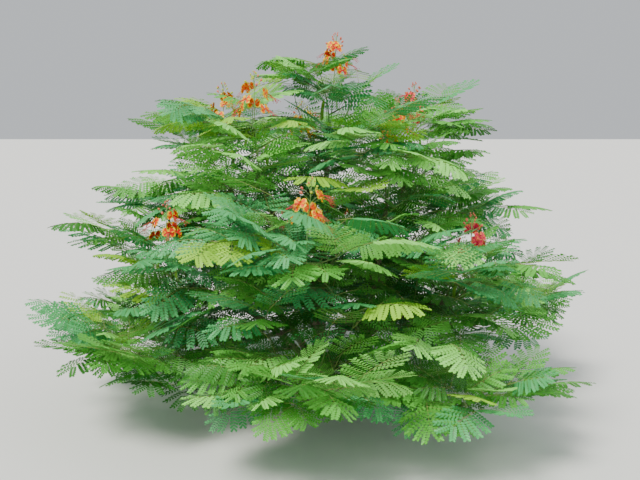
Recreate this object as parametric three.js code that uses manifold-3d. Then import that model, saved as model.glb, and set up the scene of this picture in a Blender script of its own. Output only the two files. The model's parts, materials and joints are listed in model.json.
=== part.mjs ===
// A peacock flower shrub, rooted in level ground. A short flared stem forks low into six boughs and a leader,
// which bear side boughs. They carry nineteen masses of twice-divided leaves in four tiers, and ten flower
// spikes stand over the upper three. Millimetres, +Z up. The origin is the middle of the flat cut at ground
// level, and the front of the shrub faces -Y.

import * as THREE from "three";
import { mergeVertices } from "three/addons/utils/BufferGeometryUtils.js";
import Module from "manifold-3d";

// The stem, the dome that all leaves stay in, and the gap that parts any two pieces.
const STEM = { height: 235, radius: 58, flareRadius: 92, lobes: 5, buried: 20 };
const DOME = { radius: 1610, floor: 110, shoulder: 650, top: 2020 };
const JOINT_GAP = 0.3;
const SLIVER = 0.1;

// Where the boughs and the leader leave the stem, and how far along its bough a side bough does.
const FORK = { radius: 26, heights: [158, 118], leader: [-6, 4, 190], low: 0.27, upper: 0.45 };

// The tiers of the crown: how many masses, how far out and how high their boughs end, how much every other
// one is raised or lowered, and the first one's bearing.
const TIERS = {
  low: { count: 7, reach: 920, height: 300, stagger: 60, bearing: -97, uprightness: 0.55 },
  mid: { count: 6, reach: 810, height: 790, stagger: -90, bearing: -150, uprightness: 0.65 },
  upper: { count: 5, reach: 510, height: 1220, stagger: 70, bearing: -126, uprightness: 0.7 },
  top: { count: 1, reach: 60, height: 1540, stagger: 0, bearing: 40, uprightness: 0.8 },
};

// Limbs: radius at the foot and at the tip, and how many sides and steps they are drawn with. Their knees are
// the shares of the way out and of the way up that the two inner points of their curve have.
const LIMBS = {
  bough: { radius: 22, tipRadius: 11, sides: 8, steps: 6, knees: [[0.16, 0.42], [0.62, 0.86]], sway: 90 },
  leader: { radius: 25, tipRadius: 11, sides: 8, steps: 7, knees: [[0.2, 0.3], [0.8, 0.7]], sway: 110 },
  lowBough: { radius: 13, tipRadius: 9.5, sides: 6, steps: 5, knees: [[0.36, 0.75], [0.72, 0.8]], sway: 70 },
  upperBough: { radius: 15, tipRadius: 10, sides: 6, steps: 6, knees: [[0.3, 0.2], [0.75, 0.62]], sway: 70 },
};
const LIMB_CLEARANCE = 6;

// In a mass, a stem carries twigs. The outer end of each of these shoots carries leaves, one above another.
const SHOOT = { length: 370, kneeAt: 0.4, radius: 7.5, besideSpike: { radius: 4.6, aside: 110 } };
const TWIG = { count: 3, length: 215, radius: 6.4, tipRadius: 4.8 };
const LEAVES = { perShoot: 4, spacing: 48, perMass: 11, tries: 12, turn: 137.5, clearance: 14 };

// A mass keeps to the space nearest to its heart, which lies on its stem, and a margin parts the spaces.
const SPACE = { heartAt: 0.7, lift: 10, margin: 6, flatness: 1.5 };

// One leaf is a ribbed blade with pairs of leafy side ribs. It stands for a twice-divided leaf over life size.
const LEAF = {
  length: 500,
  halfWidth: 172,
  pairs: 3,
  ribStart: 0.2,
  ribEnd: 0.86,
  ribHalfWidth: 3.4,
  ribRise: 3.4,
  ribDrop: 2.4,
  footScale: 0.45,
  notch: 0.5,
  forward: 54,
  arch: 54,
  droop: 0.36,
  spineSteps: 16,
};

// A flower spike, its seat as a share of its bough's tip radius, the shape kept clear round it, what it
// bears, and the numbers of the masses in each tier beside whose stem one stands.
const SPIKE = { length: 500, radius: 4.4, tipRadius: 2.2, kneeAt: 0.3, lean: 0.22, climb: 0.8, aside: 34 };
const SPIKE_SEAT = 0.46;
const SPIKE_GUARD = { radius: 10, headAt: 0.86, headRadius: 85 };
const FLOWERS = { count: 3, first: 0.74, apart: 0.07 };
const BUDS = { count: 2, first: 0.94, apart: 0.04 };
const POD = { at: 0.58, stalk: 50, length: 110, thickness: 3.4 };
const SPIKES = { low: [], mid: [1, 2, 3, 5], upper: [1, 2, 3, 4, 5], top: [1] };

const UP = new THREE.Vector3(0, 0, 1);

const bark = new THREE.MeshStandardMaterial({ color: 0x8a7f68, roughness: 0.85, metalness: 0 });
const greenBark = new THREE.MeshStandardMaterial({ color: 0x71855a, roughness: 0.75, metalness: 0 });
const foliage = new THREE.MeshStandardMaterial({ color: 0x4f9150, roughness: 0.55, metalness: 0 });
const blossom = new THREE.MeshStandardMaterial({ color: 0xee5a28, roughness: 0.5, metalness: 0 });

const wasm = await Module();
wasm.setup();

// A repeatable stream of numbers from 0 to 1.
function dice(seed) {
  let state = seed >>> 0;
  return () => {
    state = (state + 0x6d2b79f5) >>> 0;
    let t = state;
    t = Math.imul(t ^ (t >>> 15), t | 1);
    t ^= t + Math.imul(t ^ (t >>> 7), t | 61);
    return ((t ^ (t >>> 14)) >>> 0) / 4294967296;
  };
}

const radians = (degrees) => (degrees * Math.PI) / 180;
const mix = (a, b, t) => a + (b - a) * t;
const spread = (roll, width) => (roll() - 0.5) * width;

function from(point, ...steps) {
  return steps.reduce((spot, [way, far]) => spot.addScaledVector(way, far), point.clone());
}

// The unit vector with a bearing about Z, counted from +X towards +Y, and a rise above the level.
function heading(bearing, rise = 0) {
  const b = radians(bearing);
  const r = radians(rise);
  return new THREE.Vector3(Math.cos(b) * Math.cos(r), Math.sin(b) * Math.cos(r), Math.sin(r));
}

const bearingOf = (way) => (Math.atan2(way.y, way.x) * 180) / Math.PI;
const levelled = (way) => way.clone().setZ(0).normalize();

// Closed solids: from a geometry to a solid that can be joined and cut, and back to a named mesh.
function solidOf(geometry) {
  const bare = geometry.clone();
  bare.deleteAttribute("normal");
  bare.deleteAttribute("uv");
  const merged = mergeVertices(bare, 1e-3);
  const mesh = new wasm.Mesh({
    numProp: 3,
    vertProperties: new Float32Array(merged.attributes.position.array),
    triVerts: new Uint32Array(merged.index.array),
  });
  return new wasm.Manifold(mesh);
}

function meshOf(name, solid, base, material) {
  const { vertProperties, triVerts } = solid.translate([-base.x, -base.y, -base.z]).getMesh();
  const geometry = new THREE.BufferGeometry();
  geometry.setAttribute("position", new THREE.BufferAttribute(vertProperties, 3));
  geometry.setIndex(new THREE.BufferAttribute(triVerts, 1));
  geometry.computeVertexNormals();
  const mesh = new THREE.Mesh(geometry, material);
  mesh.name = name;
  mesh.position.copy(base);
  return mesh;
}

function facetedBody(corners, faces) {
  const geometry = new THREE.BufferGeometry().setFromPoints(corners);
  geometry.setIndex(faces);
  return solidOf(geometry);
}

// The largest body of a solid that a cut may have left in several, without the slivers that joining leaves.
function mainBody(solid) {
  const body = solid.decompose().reduce((a, b) => (b.volume() > a.volume() ? b : a));
  return body.asOriginal().simplify(SLIVER);
}

function meets(solid, other) {
  const a = solid.boundingBox();
  const b = other.boundingBox();
  const near = [0, 1, 2].every((k) => a.min[k] < b.max[k] && b.min[k] < a.max[k]);
  return near && !solid.intersect(other).isEmpty();
}

// A round limb, made by bending a cylinder along a curve. Radius and relief vary along it and round it.
function bentRod(curve, radiusAt, sides, steps, relief = () => 1) {
  const rod = new THREE.CylinderGeometry(1, 1, 1, sides, steps);
  const { normals, binormals } = curve.computeFrenetFrames(steps, false);
  const points = rod.attributes.position;
  const spot = new THREE.Vector3();
  for (let i = 0; i < points.count; i++) {
    spot.fromBufferAttribute(points, i);
    const step = Math.round((spot.y + 0.5) * steps);
    const along = step / steps;
    const radius = radiusAt(along) * relief(along, Math.atan2(spot.z, spot.x));
    const centre = curve.getPointAt(along);
    centre.addScaledVector(binormals[step], spot.x * radius);
    centre.addScaledVector(normals[step], spot.z * radius);
    points.setXYZ(i, centre.x, centre.y, centre.z);
  }
  return solidOf(rod);
}

const taper = (radius, tipRadius) => (along) => mix(radius, tipRadius, along);

// The short main stem: flared and lobed where the roots leave it, then a waist, and a swollen, rounded fork.
function makeStem(grown = 0) {
  const axis = new THREE.CatmullRomCurve3([
    new THREE.Vector3(0, 0, -STEM.buried),
    new THREE.Vector3(0, 0, STEM.height * 0.3),
    new THREE.Vector3(-7, 5, STEM.height + grown),
  ]);
  const radiusAt = (along) => {
    const flare = (STEM.flareRadius - STEM.radius) * (1 - along) ** 5;
    const fork = 9 * Math.sin(Math.PI * Math.max(0, (along - 0.35) / 0.65));
    const rounding = along > 0.86 ? Math.sqrt(Math.max(0.12, 1 - ((along - 0.86) / 0.15) ** 2)) : 1;
    return (STEM.radius + flare + fork) * rounding + grown;
  };
  const lobes = (along, angle) => 1 + 0.16 * (1 - along) ** 3 * Math.cos(STEM.lobes * angle + 0.6);
  return bentRod(axis, radiusAt, 16, 8, lobes).trimByPlane([0, 0, 1], 0);
}

// Every limb: its curve, its sizes and its solid, in the order in which each is cut back from earlier ones.
const limbs = [];

function addLimb(name, kind, foot, tip, roll, material) {
  const { radius, tipRadius, sides, steps, knees, sway } = LIMBS[kind];
  const span = tip.clone().sub(foot);
  const aside = new THREE.Vector3(-span.y, span.x, 0).normalize();
  const inner = knees.map(([out, up]) => {
    const knee = foot.clone().add(new THREE.Vector3(span.x * out, span.y * out, span.z * up));
    return from(knee, [aside, spread(roll, sway)], [UP, spread(roll, sway * 0.5)]);
  });
  const curve = new THREE.CubicBezierCurve3(foot, inner[0], inner[1], tip);
  const radiusAt = (along) => mix(radius, tipRadius, along) + radius * 0.25 * (1 - along) ** 8;
  const limb = { name, curve, tipRadius, material };
  limb.solid = bentRod(curve, radiusAt, sides, steps);
  limb.grown = bentRod(curve, (along) => radiusAt(along) + JOINT_GAP, sides, steps);
  limb.guard = bentRod(curve, (along) => radiusAt(along) + LIMB_CLEARANCE, sides, steps);
  limbs.push(limb);
}

function tierTip(tier, number, roll) {
  const { count, reach, height, stagger, bearing } = TIERS[tier];
  const turn = bearing + (360 * (number - 1)) / count + spread(roll, 16);
  return heading(turn)
    .multiplyScalar(reach + spread(roll, reach * 0.14))
    .setZ(height + (number % 2 ? stagger : -stagger) + spread(roll, 70));
}

// A side bough leaves the bough whose bearing is nearest to its own.
function nearestBough(boughs, tip) {
  const apart = (bough) => levelled(bough.curve.v3).distanceTo(levelled(tip));
  return boughs.reduce((a, b) => (apart(b) < apart(a) ? b : a));
}

function growLimbs() {
  const roll = dice(7);
  for (let k = 1; k <= TIERS.mid.count; k++) {
    const tip = tierTip("mid", k, roll);
    const foot = levelled(tip).multiplyScalar(FORK.radius).setZ(FORK.heights[k % 2]);
    addLimb(`bough_${k}`, "bough", foot, tip, roll, bark);
  }
  const boughs = [...limbs];
  addLimb("leader", "leader", new THREE.Vector3(...FORK.leader), tierTip("top", 1, roll), roll, bark);
  for (const [tier, kind, name] of [
    ["low", "lowBough", "low_bough"],
    ["upper", "upperBough", "upper_bough"],
  ]) {
    for (let k = 1; k <= TIERS[tier].count; k++) {
      const tip = tierTip(tier, k, roll);
      const foot = nearestBough(boughs, tip).curve.getPoint(FORK[tier]);
      addLimb(`${name}_${k}`, kind, foot, tip, roll, greenBark);
    }
  }
}

function cutLimbs() {
  const grownStem = makeStem(JOINT_GAP);
  limbs.forEach((limb, order) => {
    const cutters = [grownStem, ...limbs.slice(0, order).map((earlier) => earlier.grown)];
    for (const cutter of cutters) {
      if (meets(limb.solid, cutter)) limb.solid = mainBody(limb.solid.subtract(cutter));
    }
  });
}

// Where a leaf lies. Its rib leaves the foot at a rise and arches down, and its blade is tilted to one side.
class LeafPlace {
  constructor(foot, bearing, rise, tilt, size) {
    this.size = size;
    this.step = (LEAF.length * size) / LEAF.spineSteps;
    this.stations = [];
    const origin = new THREE.Vector3();
    const level = heading(bearing + 90);
    const spot = foot.clone();
    for (let k = 0; k <= LEAF.spineSteps; k++) {
      const angle = rise - LEAF.arch * (k / LEAF.spineSteps) ** 1.3;
      const ahead = heading(bearing, angle);
      const over = heading(bearing, angle + 90);
      const side = from(origin, [level, Math.cos(tilt)], [over, Math.sin(tilt)]);
      const face = from(origin, [over, Math.cos(tilt)], [level, -Math.sin(tilt)]);
      this.stations.push({ spot: spot.clone(), ahead, side, face });
      spot.addScaledVector(ahead, this.step);
    }
  }

  sag(across) {
    return (LEAF.droop * across * across) / (LEAF.length * this.size);
  }

  // The point at a length along the rib and a distance across it, for a leaf of size 1, and a height off it.
  at(along, across, off) {
    const nearest = Math.round((along / LEAF.length) * LEAF.spineSteps);
    const { spot, ahead, side, face } = this.stations[nearest];
    const rest = along * this.size - nearest * this.step;
    const out = across * this.size;
    return from(spot, [ahead, rest], [side, out], [face, off - this.sag(out)]);
  }

  // Whether a point lies within a clearance of the blade.
  touches(point, clearance) {
    return this.stations.some(({ spot, ahead, side, face }, k) => {
      const reach = point.clone().sub(spot);
      const out = reach.dot(side);
      const near = k > 1 && Math.abs(reach.dot(ahead)) < this.step / 2 + 1;
      const inside = Math.abs(out) < LEAF.halfWidth * this.size + clearance;
      return near && inside && Math.abs(reach.dot(face) + this.sag(out)) < clearance;
    });
  }
}

// The corners of a leaf: where each pair of side ribs leaves the rib, and the tips and notches of both edges.
function leafEdges(place) {
  const gap = (LEAF.length * (LEAF.ribEnd - LEAF.ribStart)) / LEAF.pairs;
  const roots = [...Array(LEAF.pairs + 1)].map((_, k) => LEAF.length * LEAF.ribStart + gap * k);
  const edge = (way) => {
    const tips = [];
    const notches = [];
    for (let k = 0; k < LEAF.pairs; k++) {
      const last = k === LEAF.pairs - 1;
      const swell = Math.sin(Math.PI * (0.32 + (0.5 * (k + 0.5)) / LEAF.pairs));
      const out = LEAF.halfWidth * swell * (last ? 0.74 : 1);
      tips.push(place.at(last ? LEAF.length : roots[k] + gap * 0.5 + LEAF.forward, way * out, 0));
      if (k > 0) notches.push(place.at(roots[k] + LEAF.forward * 0.35, way * out * LEAF.notch, 0));
    }
    return { tips, notches };
  };
  return { roots, left: edge(1), right: edge(-1) };
}

function leafBody(place, { roots, left, right }) {
  const corners = [];
  const faces = [];
  const add = (point) => corners.push(point) - 1;
  const section = (along, scale) => ({
    ridge: add(place.at(along, 0, LEAF.ribRise * scale)),
    left: add(place.at(along, LEAF.ribHalfWidth * scale, -LEAF.ribDrop * scale)),
    right: add(place.at(along, -LEAF.ribHalfWidth * scale, -LEAF.ribDrop * scale)),
  });
  const foot = section(0, LEAF.footScale);
  const ribs = roots.map((along) => section(along, 1));
  const joinUnder = (a, b) => faces.push(a.left, b.left, b.right, a.left, b.right, a.right);
  const end = ribs[LEAF.pairs];
  joinUnder(foot, ribs[0]);
  faces.push(foot.ridge, foot.left, foot.right, end.ridge, end.right, end.left);
  for (const [side, edge, way] of [["left", left, 1], ["right", right, -1]]) {
    const face = (a, b, c) => (way > 0 ? faces.push(a, b, c) : faces.push(c, b, a));
    face(foot.ridge, ribs[0].ridge, ribs[0][side]);
    face(foot.ridge, ribs[0][side], foot[side]);
    const tips = edge.tips.map(add);
    const notches = [ribs[0][side], ...edge.notches.map(add), end[side]];
    for (let k = 0; k < LEAF.pairs; k++) {
      const [a, b] = [ribs[k], ribs[k + 1]];
      const [rear, fore] = [notches[k], notches[k + 1]];
      face(a.ridge, b.ridge, fore);
      face(a.ridge, fore, tips[k]);
      face(a.ridge, tips[k], rear);
      face(a[side], tips[k], fore);
      if (k > 0) face(a[side], rear, tips[k]);
      if (k < LEAF.pairs - 1) face(a[side], fore, b[side]);
    }
  }
  for (let k = 0; k < LEAF.pairs; k++) joinUnder(ribs[k], ribs[k + 1]);
  return facetedBody(corners, faces);
}

// Every mass keeps to its own space: the part of the dome nearer to its heart than to any other mass's heart.
const masses = [];

function distanceTo(heart, point) {
  return Math.hypot(point.x - heart.x, point.y - heart.y, SPACE.flatness * (point.z - heart.z));
}

function inDome(point) {
  const climb = Math.max(0, point.z - DOME.shoulder) / (DOME.top - DOME.shoulder);
  const widest = DOME.radius * Math.sqrt(Math.max(0, 1 - climb ** 2));
  return point.z > DOME.floor && Math.hypot(point.x, point.y) < widest;
}

function inOwnSpace(mass, point) {
  const own = distanceTo(mass.heart, point) + SPACE.margin;
  return inDome(point) && masses.every((other) => other === mass || distanceTo(other.heart, point) > own);
}

function planMass(tier, number, limb) {
  const tip = limb.curve.getPoint(1);
  const along = limb.curve.getTangent(1);
  const aside = new THREE.Vector3().crossVectors(along, UP).normalize();
  const hasSpike = SPIKES[tier].includes(number);
  const seat = from(tip, [along, JOINT_GAP + 0.05]);
  const foot = from(seat, [aside, hasSpike ? limb.tipRadius * SPIKE_SEAT : 0]);
  const rise = along.clone().lerp(UP, TIERS[tier].uprightness).normalize();
  const knee = from(foot, [along, SHOOT.length * SHOOT.kneeAt]);
  const lean = hasSpike ? SHOOT.besideSpike.aside : 0;
  const end = from(knee, [rise, SHOOT.length * (1 - SHOOT.kneeAt)], [aside, lean]);
  const heart = from(foot.clone().lerp(end, SPACE.heartAt), [UP, SPACE.lift]);
  const seed = 100 + masses.length;
  masses.push({ tier, number, seed, limb, seat, along, aside, foot, knee, end, heart, hasSpike });
}

// The shoots of a mass: its stem, and twigs that leave the stem round about.
function planShoots(mass, roll) {
  const stem = new THREE.QuadraticBezierCurve3(mass.foot, mass.knee, mass.end);
  const outward = bearingOf(mass.heart);
  const { radius } = mass.hasSpike ? SHOOT.besideSpike : SHOOT;
  const shoots = [{ curve: stem, radius, bearing: outward }];
  for (let k = 0; k < TWIG.count; k++) {
    const start = stem.getPoint(0.3 + 0.17 * k);
    const bearing = outward + 60 + 120 * k + spread(roll, 50);
    const end = from(start, [heading(bearing, 14 + 20 * roll()), TWIG.length * (0.85 + 0.3 * roll())]);
    shoots.push({ curve: new THREE.LineCurve3(start, end), radius: TWIG.radius, bearing });
  }
  return shoots;
}

function shootBody({ curve, radius }) {
  const steps = curve instanceof THREE.LineCurve3 ? 1 : 3;
  return bentRod(curve, taper(radius, Math.min(radius, TWIG.tipRadius)), 3, steps);
}

// The next place for a leaf on a mass's shoots. Leaves turn about their shoot from rank to rank.
function leafPlace(shoots, k, roll) {
  const shoot = shoots[k % shoots.length];
  const rank = Math.floor(k / shoots.length);
  const down = LEAVES.spacing * (rank % LEAVES.perShoot) + 4;
  const foot = shoot.curve.getPoint(1 - down / shoot.curve.getLength());
  const bearing = shoot.bearing + LEAVES.turn * rank + spread(roll, 40);
  const size = 1.04 - 0.14 * roll() - 0.035 * Math.floor(rank / LEAVES.perShoot);
  return new LeafPlace(foot, bearing, 4 + 32 * roll(), spread(roll, 0.6), size);
}

// The solid of a mass. A twig or leaf that would leave its space, or touch a limb, spike or leaf, is skipped.
function growMass(mass, guards) {
  const roll = dice(mass.seed);
  const [stem, ...twigs] = planShoots(mass, roll);
  const clear = twigs.filter((twig) => !guards.some((guard) => meets(shootBody(twig), guard)));
  const shoots = [stem, ...clear];
  const tries = LEAVES.perShoot * shoots.length * LEAVES.tries;
  const leaves = [];
  let body = shoots.map(shootBody).reduce((a, b) => a.add(b));
  for (let k = 0; k < tries && leaves.length < LEAVES.perMass; k++) {
    const place = leafPlace(shoots, k, roll);
    const edges = leafEdges(place);
    const corners = [edges.left, edges.right].flatMap(({ tips, notches }) => [...tips, ...notches]);
    if (!corners.every((corner) => inOwnSpace(mass, corner))) continue;
    const crowds = (leaf) => corners.some((corner) => leaf.place.touches(corner, LEAVES.clearance));
    if (leaves.some(crowds)) continue;
    const solid = leafBody(place, edges);
    const taken = [...guards, ...leaves.map((leaf) => leaf.solid)];
    if (taken.some((other) => meets(solid, other))) continue;
    leaves.push({ place, solid });
    body = body.add(solid);
  }
  return mainBody(body);
}

// An open flower as one body: a three-sided stalk, a five-lobed dish, and its stamens as one slim spur.
function flowerBody(base, bearing, rise, stalk, radius) {
  const out = heading(bearing, rise);
  const across = new THREE.Vector3().crossVectors(UP, out).normalize();
  const over = new THREE.Vector3().crossVectors(out, across);
  const corners = [];
  const faces = [];
  const ring = (count, along, reachAt) => {
    for (let k = 0; k < count; k++) {
      const turn = radians(90 + (360 * k) / count);
      const reach = reachAt(k);
      const centre = from(base, [out, along + reach * 0.28]);
      corners.push(from(centre, [across, Math.cos(turn) * reach], [over, Math.sin(turn) * reach]));
    }
    return corners.length - count;
  };
  const rimCount = 10;
  const foot = ring(3, 0, () => 2);
  const back = ring(3, stalk - 2, () => 2.4);
  const rim = ring(rimCount, stalk, (k) => radius * (k % 2 ? 0.52 : 1));
  const heart = ring(3, stalk + 2.4, () => 2.6);
  const tip = ring(1, stalk + radius * 1.9, () => 0);
  faces.push(foot, foot + 2, foot + 1);
  for (let k = 0; k < 3; k++) {
    const next = (k + 1) % 3;
    faces.push(foot + k, foot + next, back + next, foot + k, back + next, back + k);
    faces.push(heart + k, heart + next, tip);
  }
  for (let k = 0; k < rimCount; k++) {
    const after = (k + 1) % rimCount;
    const inner = Math.floor((3 * k) / rimCount);
    const innerAfter = Math.floor((3 * after) / rimCount);
    faces.push(back + inner, rim + after, rim + k, heart + inner, rim + k, rim + after);
    if (inner === innerAfter) continue;
    faces.push(back + inner, back + innerAfter, rim + after);
    faces.push(heart + inner, rim + after, heart + innerAfter);
  }
  return facetedBody(corners, faces);
}

// A bud as one body: a stalk that swells into a bead.
function budBody(base, bearing, rise, stalk, size) {
  const curve = new THREE.LineCurve3(base, from(base, [heading(bearing, rise), stalk + size]));
  const swell = (along) => [2, 1.8, size, 1.5][Math.round(along * 3)];
  return bentRod(curve, swell, 3, 3);
}

// A flat green pod that hangs from its own stalk: a strap, widest past its middle, with a short point.
function podBody(base, bearing, length) {
  const { stalk, thickness } = POD;
  const shape = new THREE.Shape();
  shape.moveTo(-1, -2);
  shape.lineTo(stalk - 4, 1);
  shape.lineTo(stalk - length * 0.09, -length * 0.3);
  shape.lineTo(stalk - length * 0.1, -length * 0.74);
  shape.lineTo(stalk, -length);
  shape.lineTo(stalk + length * 0.1, -length * 0.76);
  shape.lineTo(stalk + length * 0.07, -length * 0.26);
  shape.lineTo(stalk, 5);
  shape.lineTo(-1, 2);
  const strap = new THREE.ExtrudeGeometry(shape, { depth: thickness, bevelEnabled: false });
  strap.translate(0, 0, -thickness / 2);
  strap.rotateX(Math.PI / 2);
  strap.rotateZ(radians(bearing));
  strap.translate(base.x, base.y, base.z);
  return solidOf(strap);
}

function spikeCurve(mass) {
  const foot = from(mass.seat, [mass.aside, -mass.limb.tipRadius * SPIKE_SEAT]);
  const knee = from(foot, [mass.along, SPIKE.length * SPIKE.kneeAt]);
  const top = from(foot, [mass.along, SPIKE.length * SPIKE.lean], [UP, SPIKE.length * SPIKE.climb]);
  return new THREE.QuadraticBezierCurve3(foot, knee, from(top, [mass.aside, -SPIKE.aside]));
}

// A spike: its stalk, on every other one a pod, then open flowers, and buds at the top.
function growSpike(mass) {
  const roll = dice(mass.seed + 500);
  const curve = spikeCurve(mass);
  let body = bentRod(curve, taper(SPIKE.radius, SPIKE.tipRadius), 3, 4);
  let bearing = 360 * roll();
  const next = () => {
    bearing += LEAVES.turn;
    return bearing;
  };
  if (mass.number % 2) {
    const away = bearingOf(mass.aside.clone().negate()) + spread(roll, 60);
    body = body.add(podBody(curve.getPoint(POD.at), away, POD.length + 15 * roll()));
  }
  for (let k = 0; k < FLOWERS.count; k++) {
    const foot = curve.getPoint(FLOWERS.first + FLOWERS.apart * k);
    body = body.add(flowerBody(foot, next(), 24 + 8 * k, 76 - 6 * k, 33 + 5 * roll()));
  }
  for (let k = 0; k < BUDS.count; k++) {
    const foot = curve.getPoint(BUDS.first + BUDS.apart * k);
    body = body.add(budBody(foot, next(), 52 + 16 * k, 44 - 12 * k, 10 - k));
  }
  return mainBody(body);
}

// A generous shape round a spike, which the leaves keep out of.
function spikeGuard(mass) {
  const curve = spikeCurve(mass);
  const head = new THREE.IcosahedronGeometry(SPIKE_GUARD.headRadius, 0);
  const spot = curve.getPoint(SPIKE_GUARD.headAt);
  head.translate(spot.x, spot.y, spot.z);
  return bentRod(curve, () => SPIKE_GUARD.radius, 6, 5).add(solidOf(head)).add(mass.flowers);
}

const shrub = new THREE.Group();
const frame = new THREE.Group();
const crown = new THREE.Group();
shrub.add(frame, crown);

growLimbs();
cutLimbs();
frame.add(meshOf("stem", makeStem(), new THREE.Vector3(), bark));
for (const limb of limbs) {
  frame.add(meshOf(limb.name, limb.solid, limb.curve.getPoint(0), limb.material));
}

const bearers = { low: "low_bough_", mid: "bough_", upper: "upper_bough_" };
for (const tier of Object.keys(TIERS)) {
  for (let number = 1; number <= TIERS[tier].count; number++) {
    const bearer = bearers[tier] ? bearers[tier] + number : "leader";
    planMass(tier, number, limbs.find((limb) => limb.name === bearer));
  }
}

const spiked = masses.filter((mass) => mass.hasSpike);
for (const mass of spiked) {
  mass.flowers = growSpike(mass);
}
const guards = [...limbs.map((limb) => limb.guard), ...spiked.map(spikeGuard)];
for (const mass of masses) {
  const others = guards.map((guard) => (guard === mass.limb.guard ? mass.limb.grown : guard));
  crown.add(meshOf(`foliage_${mass.tier}_${mass.number}`, growMass(mass, others), mass.foot, foliage));
}
for (const mass of spiked) {
  crown.add(meshOf(`flowers_${mass.tier}_${mass.number}`, mass.flowers, mass.seat, blossom));
}

export default shrub;
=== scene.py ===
# A peacock flower shrub, dressed on the solids of its limbs, masses of leaves and flower spikes.
# Metres, +Z up, origin at ground level under the stem. The front of the shrub faces -Y.

import json
import math

import bmesh
import bpy
import numpy as np
from mathutils import Euler, Matrix, Vector, kdtree, noise

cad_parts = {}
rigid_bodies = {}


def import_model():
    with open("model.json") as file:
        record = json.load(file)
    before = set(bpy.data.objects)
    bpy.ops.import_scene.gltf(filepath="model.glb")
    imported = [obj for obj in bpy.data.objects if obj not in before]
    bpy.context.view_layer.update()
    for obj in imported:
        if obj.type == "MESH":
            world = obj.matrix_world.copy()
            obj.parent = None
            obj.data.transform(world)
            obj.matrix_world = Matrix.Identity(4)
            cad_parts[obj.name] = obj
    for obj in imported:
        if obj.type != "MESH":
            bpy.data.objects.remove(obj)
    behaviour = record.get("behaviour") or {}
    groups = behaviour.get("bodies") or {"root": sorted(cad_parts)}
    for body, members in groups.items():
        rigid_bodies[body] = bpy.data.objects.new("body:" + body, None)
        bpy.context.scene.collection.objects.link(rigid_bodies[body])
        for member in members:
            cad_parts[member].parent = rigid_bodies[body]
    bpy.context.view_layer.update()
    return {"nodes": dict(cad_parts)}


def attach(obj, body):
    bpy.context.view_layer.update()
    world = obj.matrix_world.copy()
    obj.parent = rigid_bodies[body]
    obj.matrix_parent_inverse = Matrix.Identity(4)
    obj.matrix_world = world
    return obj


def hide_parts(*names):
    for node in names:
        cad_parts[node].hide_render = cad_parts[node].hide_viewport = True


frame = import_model()

# Camera: at the eye height of someone standing a few steps in front of the shrub, looking a little down
# into its crown. The sensor and the lens are in millimetres, as cameras state them.
EYE = Vector((0.0, -4.45, 1.66))
LOOK_AT = Vector((0.0, 0.0, 0.93))
SENSOR_MM = 36
LENS_MM = 45

camera = bpy.data.objects.new("camera", bpy.data.cameras.new("camera"))
camera.data.sensor_width = SENSOR_MM
camera.data.lens = LENS_MM
camera.location = EYE
camera.rotation_euler = (LOOK_AT - EYE).to_track_quat("-Z", "Y").to_euler()
bpy.context.scene.collection.objects.link(camera)
bpy.context.scene.camera = camera

# Stem and boughs: living wood with grey-brown bark. The main boughs all leave the short, flared stem close
# above the ground. Every limb grows by one rule, from the bearing, reach and height of its tier.
UP = np.array([0.0, 0.0, 1.0])
TIERS = {
    "low": {"count": 7, "reach": 0.92, "height": 0.3, "stagger": 0.06, "bearing": -97, "upright": 0.55},
    "mid": {"count": 6, "reach": 0.81, "height": 0.79, "stagger": -0.09, "bearing": -150, "upright": 0.65},
    "upper": {"count": 5, "reach": 0.51, "height": 1.22, "stagger": 0.07, "bearing": -126, "upright": 0.7},
    "top": {"count": 1, "reach": 0.06, "height": 1.54, "stagger": 0.0, "bearing": 40, "upright": 0.8},
}
LIMBS = {
    "bough": {"radius": 0.022, "tip": 0.011, "knees": [(0.16, 0.42), (0.62, 0.86)], "sway": 0.09},
    "leader": {"radius": 0.025, "tip": 0.011, "knees": [(0.2, 0.3), (0.8, 0.7)], "sway": 0.11},
    "low_bough": {"radius": 0.013, "tip": 0.0095, "knees": [(0.36, 0.75), (0.72, 0.8)], "sway": 0.07},
    "upper_bough": {"radius": 0.015, "tip": 0.01, "knees": [(0.3, 0.2), (0.75, 0.62)], "sway": 0.07},
}
TIER_SPREAD = {"bearing": 16, "reach": 0.14, "height": 0.07}
FLARE = {"share": 0.25, "power": 8}
FORK = {"radius": 0.026, "heights": (0.158, 0.118), "leader": (-0.006, 0.004, 0.19)}
BRANCHING = {"low": 0.27, "upper": 0.45}
STEM = {"radius": 0.058, "flare": 0.034, "flare_power": 5, "lobes": 5, "lobe_depth": 0.16, "lobe_turn": 0.6}
STEM_LINE = [(0, 0, 0), (0, 0, 0.08), (-0.003, 0.002, 0.16), (-0.007, 0.005, 0.235)]
STEM_TOP = {"swelling": 0.009, "swells_from": 0.35, "rounds_from": 0.86, "length": 0.15, "least": 0.12}
RELIEF = {"lumps": 22, "grain": 95, "scars": 9, "wander": 0.3, "ring": 0.09, "sharpness": 9}
FIRST_SIDE = (0.36, 0.93, 0.1)
TIP_POINT = 0.4
LIMB_SEED = 7


def dice(seed):
    """A repeatable stream of numbers from 0 to 1, by the mulberry32 rule."""
    state = seed
    mask = 0xFFFFFFFF

    def roll():
        nonlocal state
        state = (state + 0x6D2B79F5) & mask
        t = state
        t = ((t ^ (t >> 15)) * (t | 1)) & mask
        t ^= (t + ((t ^ (t >> 7)) * (t | 61))) & mask
        return (t ^ (t >> 14)) / 4294967296

    return roll


def spread(roll, width):
    """A number up to half the width below or above 0."""
    return (roll() - 0.5) * width


def drawn(roll, least, extra):
    """A number from the least one up to the extra above it."""
    return least + extra * roll()


def unit(way):
    """The same way with a length of 1."""
    return way / np.linalg.norm(way)


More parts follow.
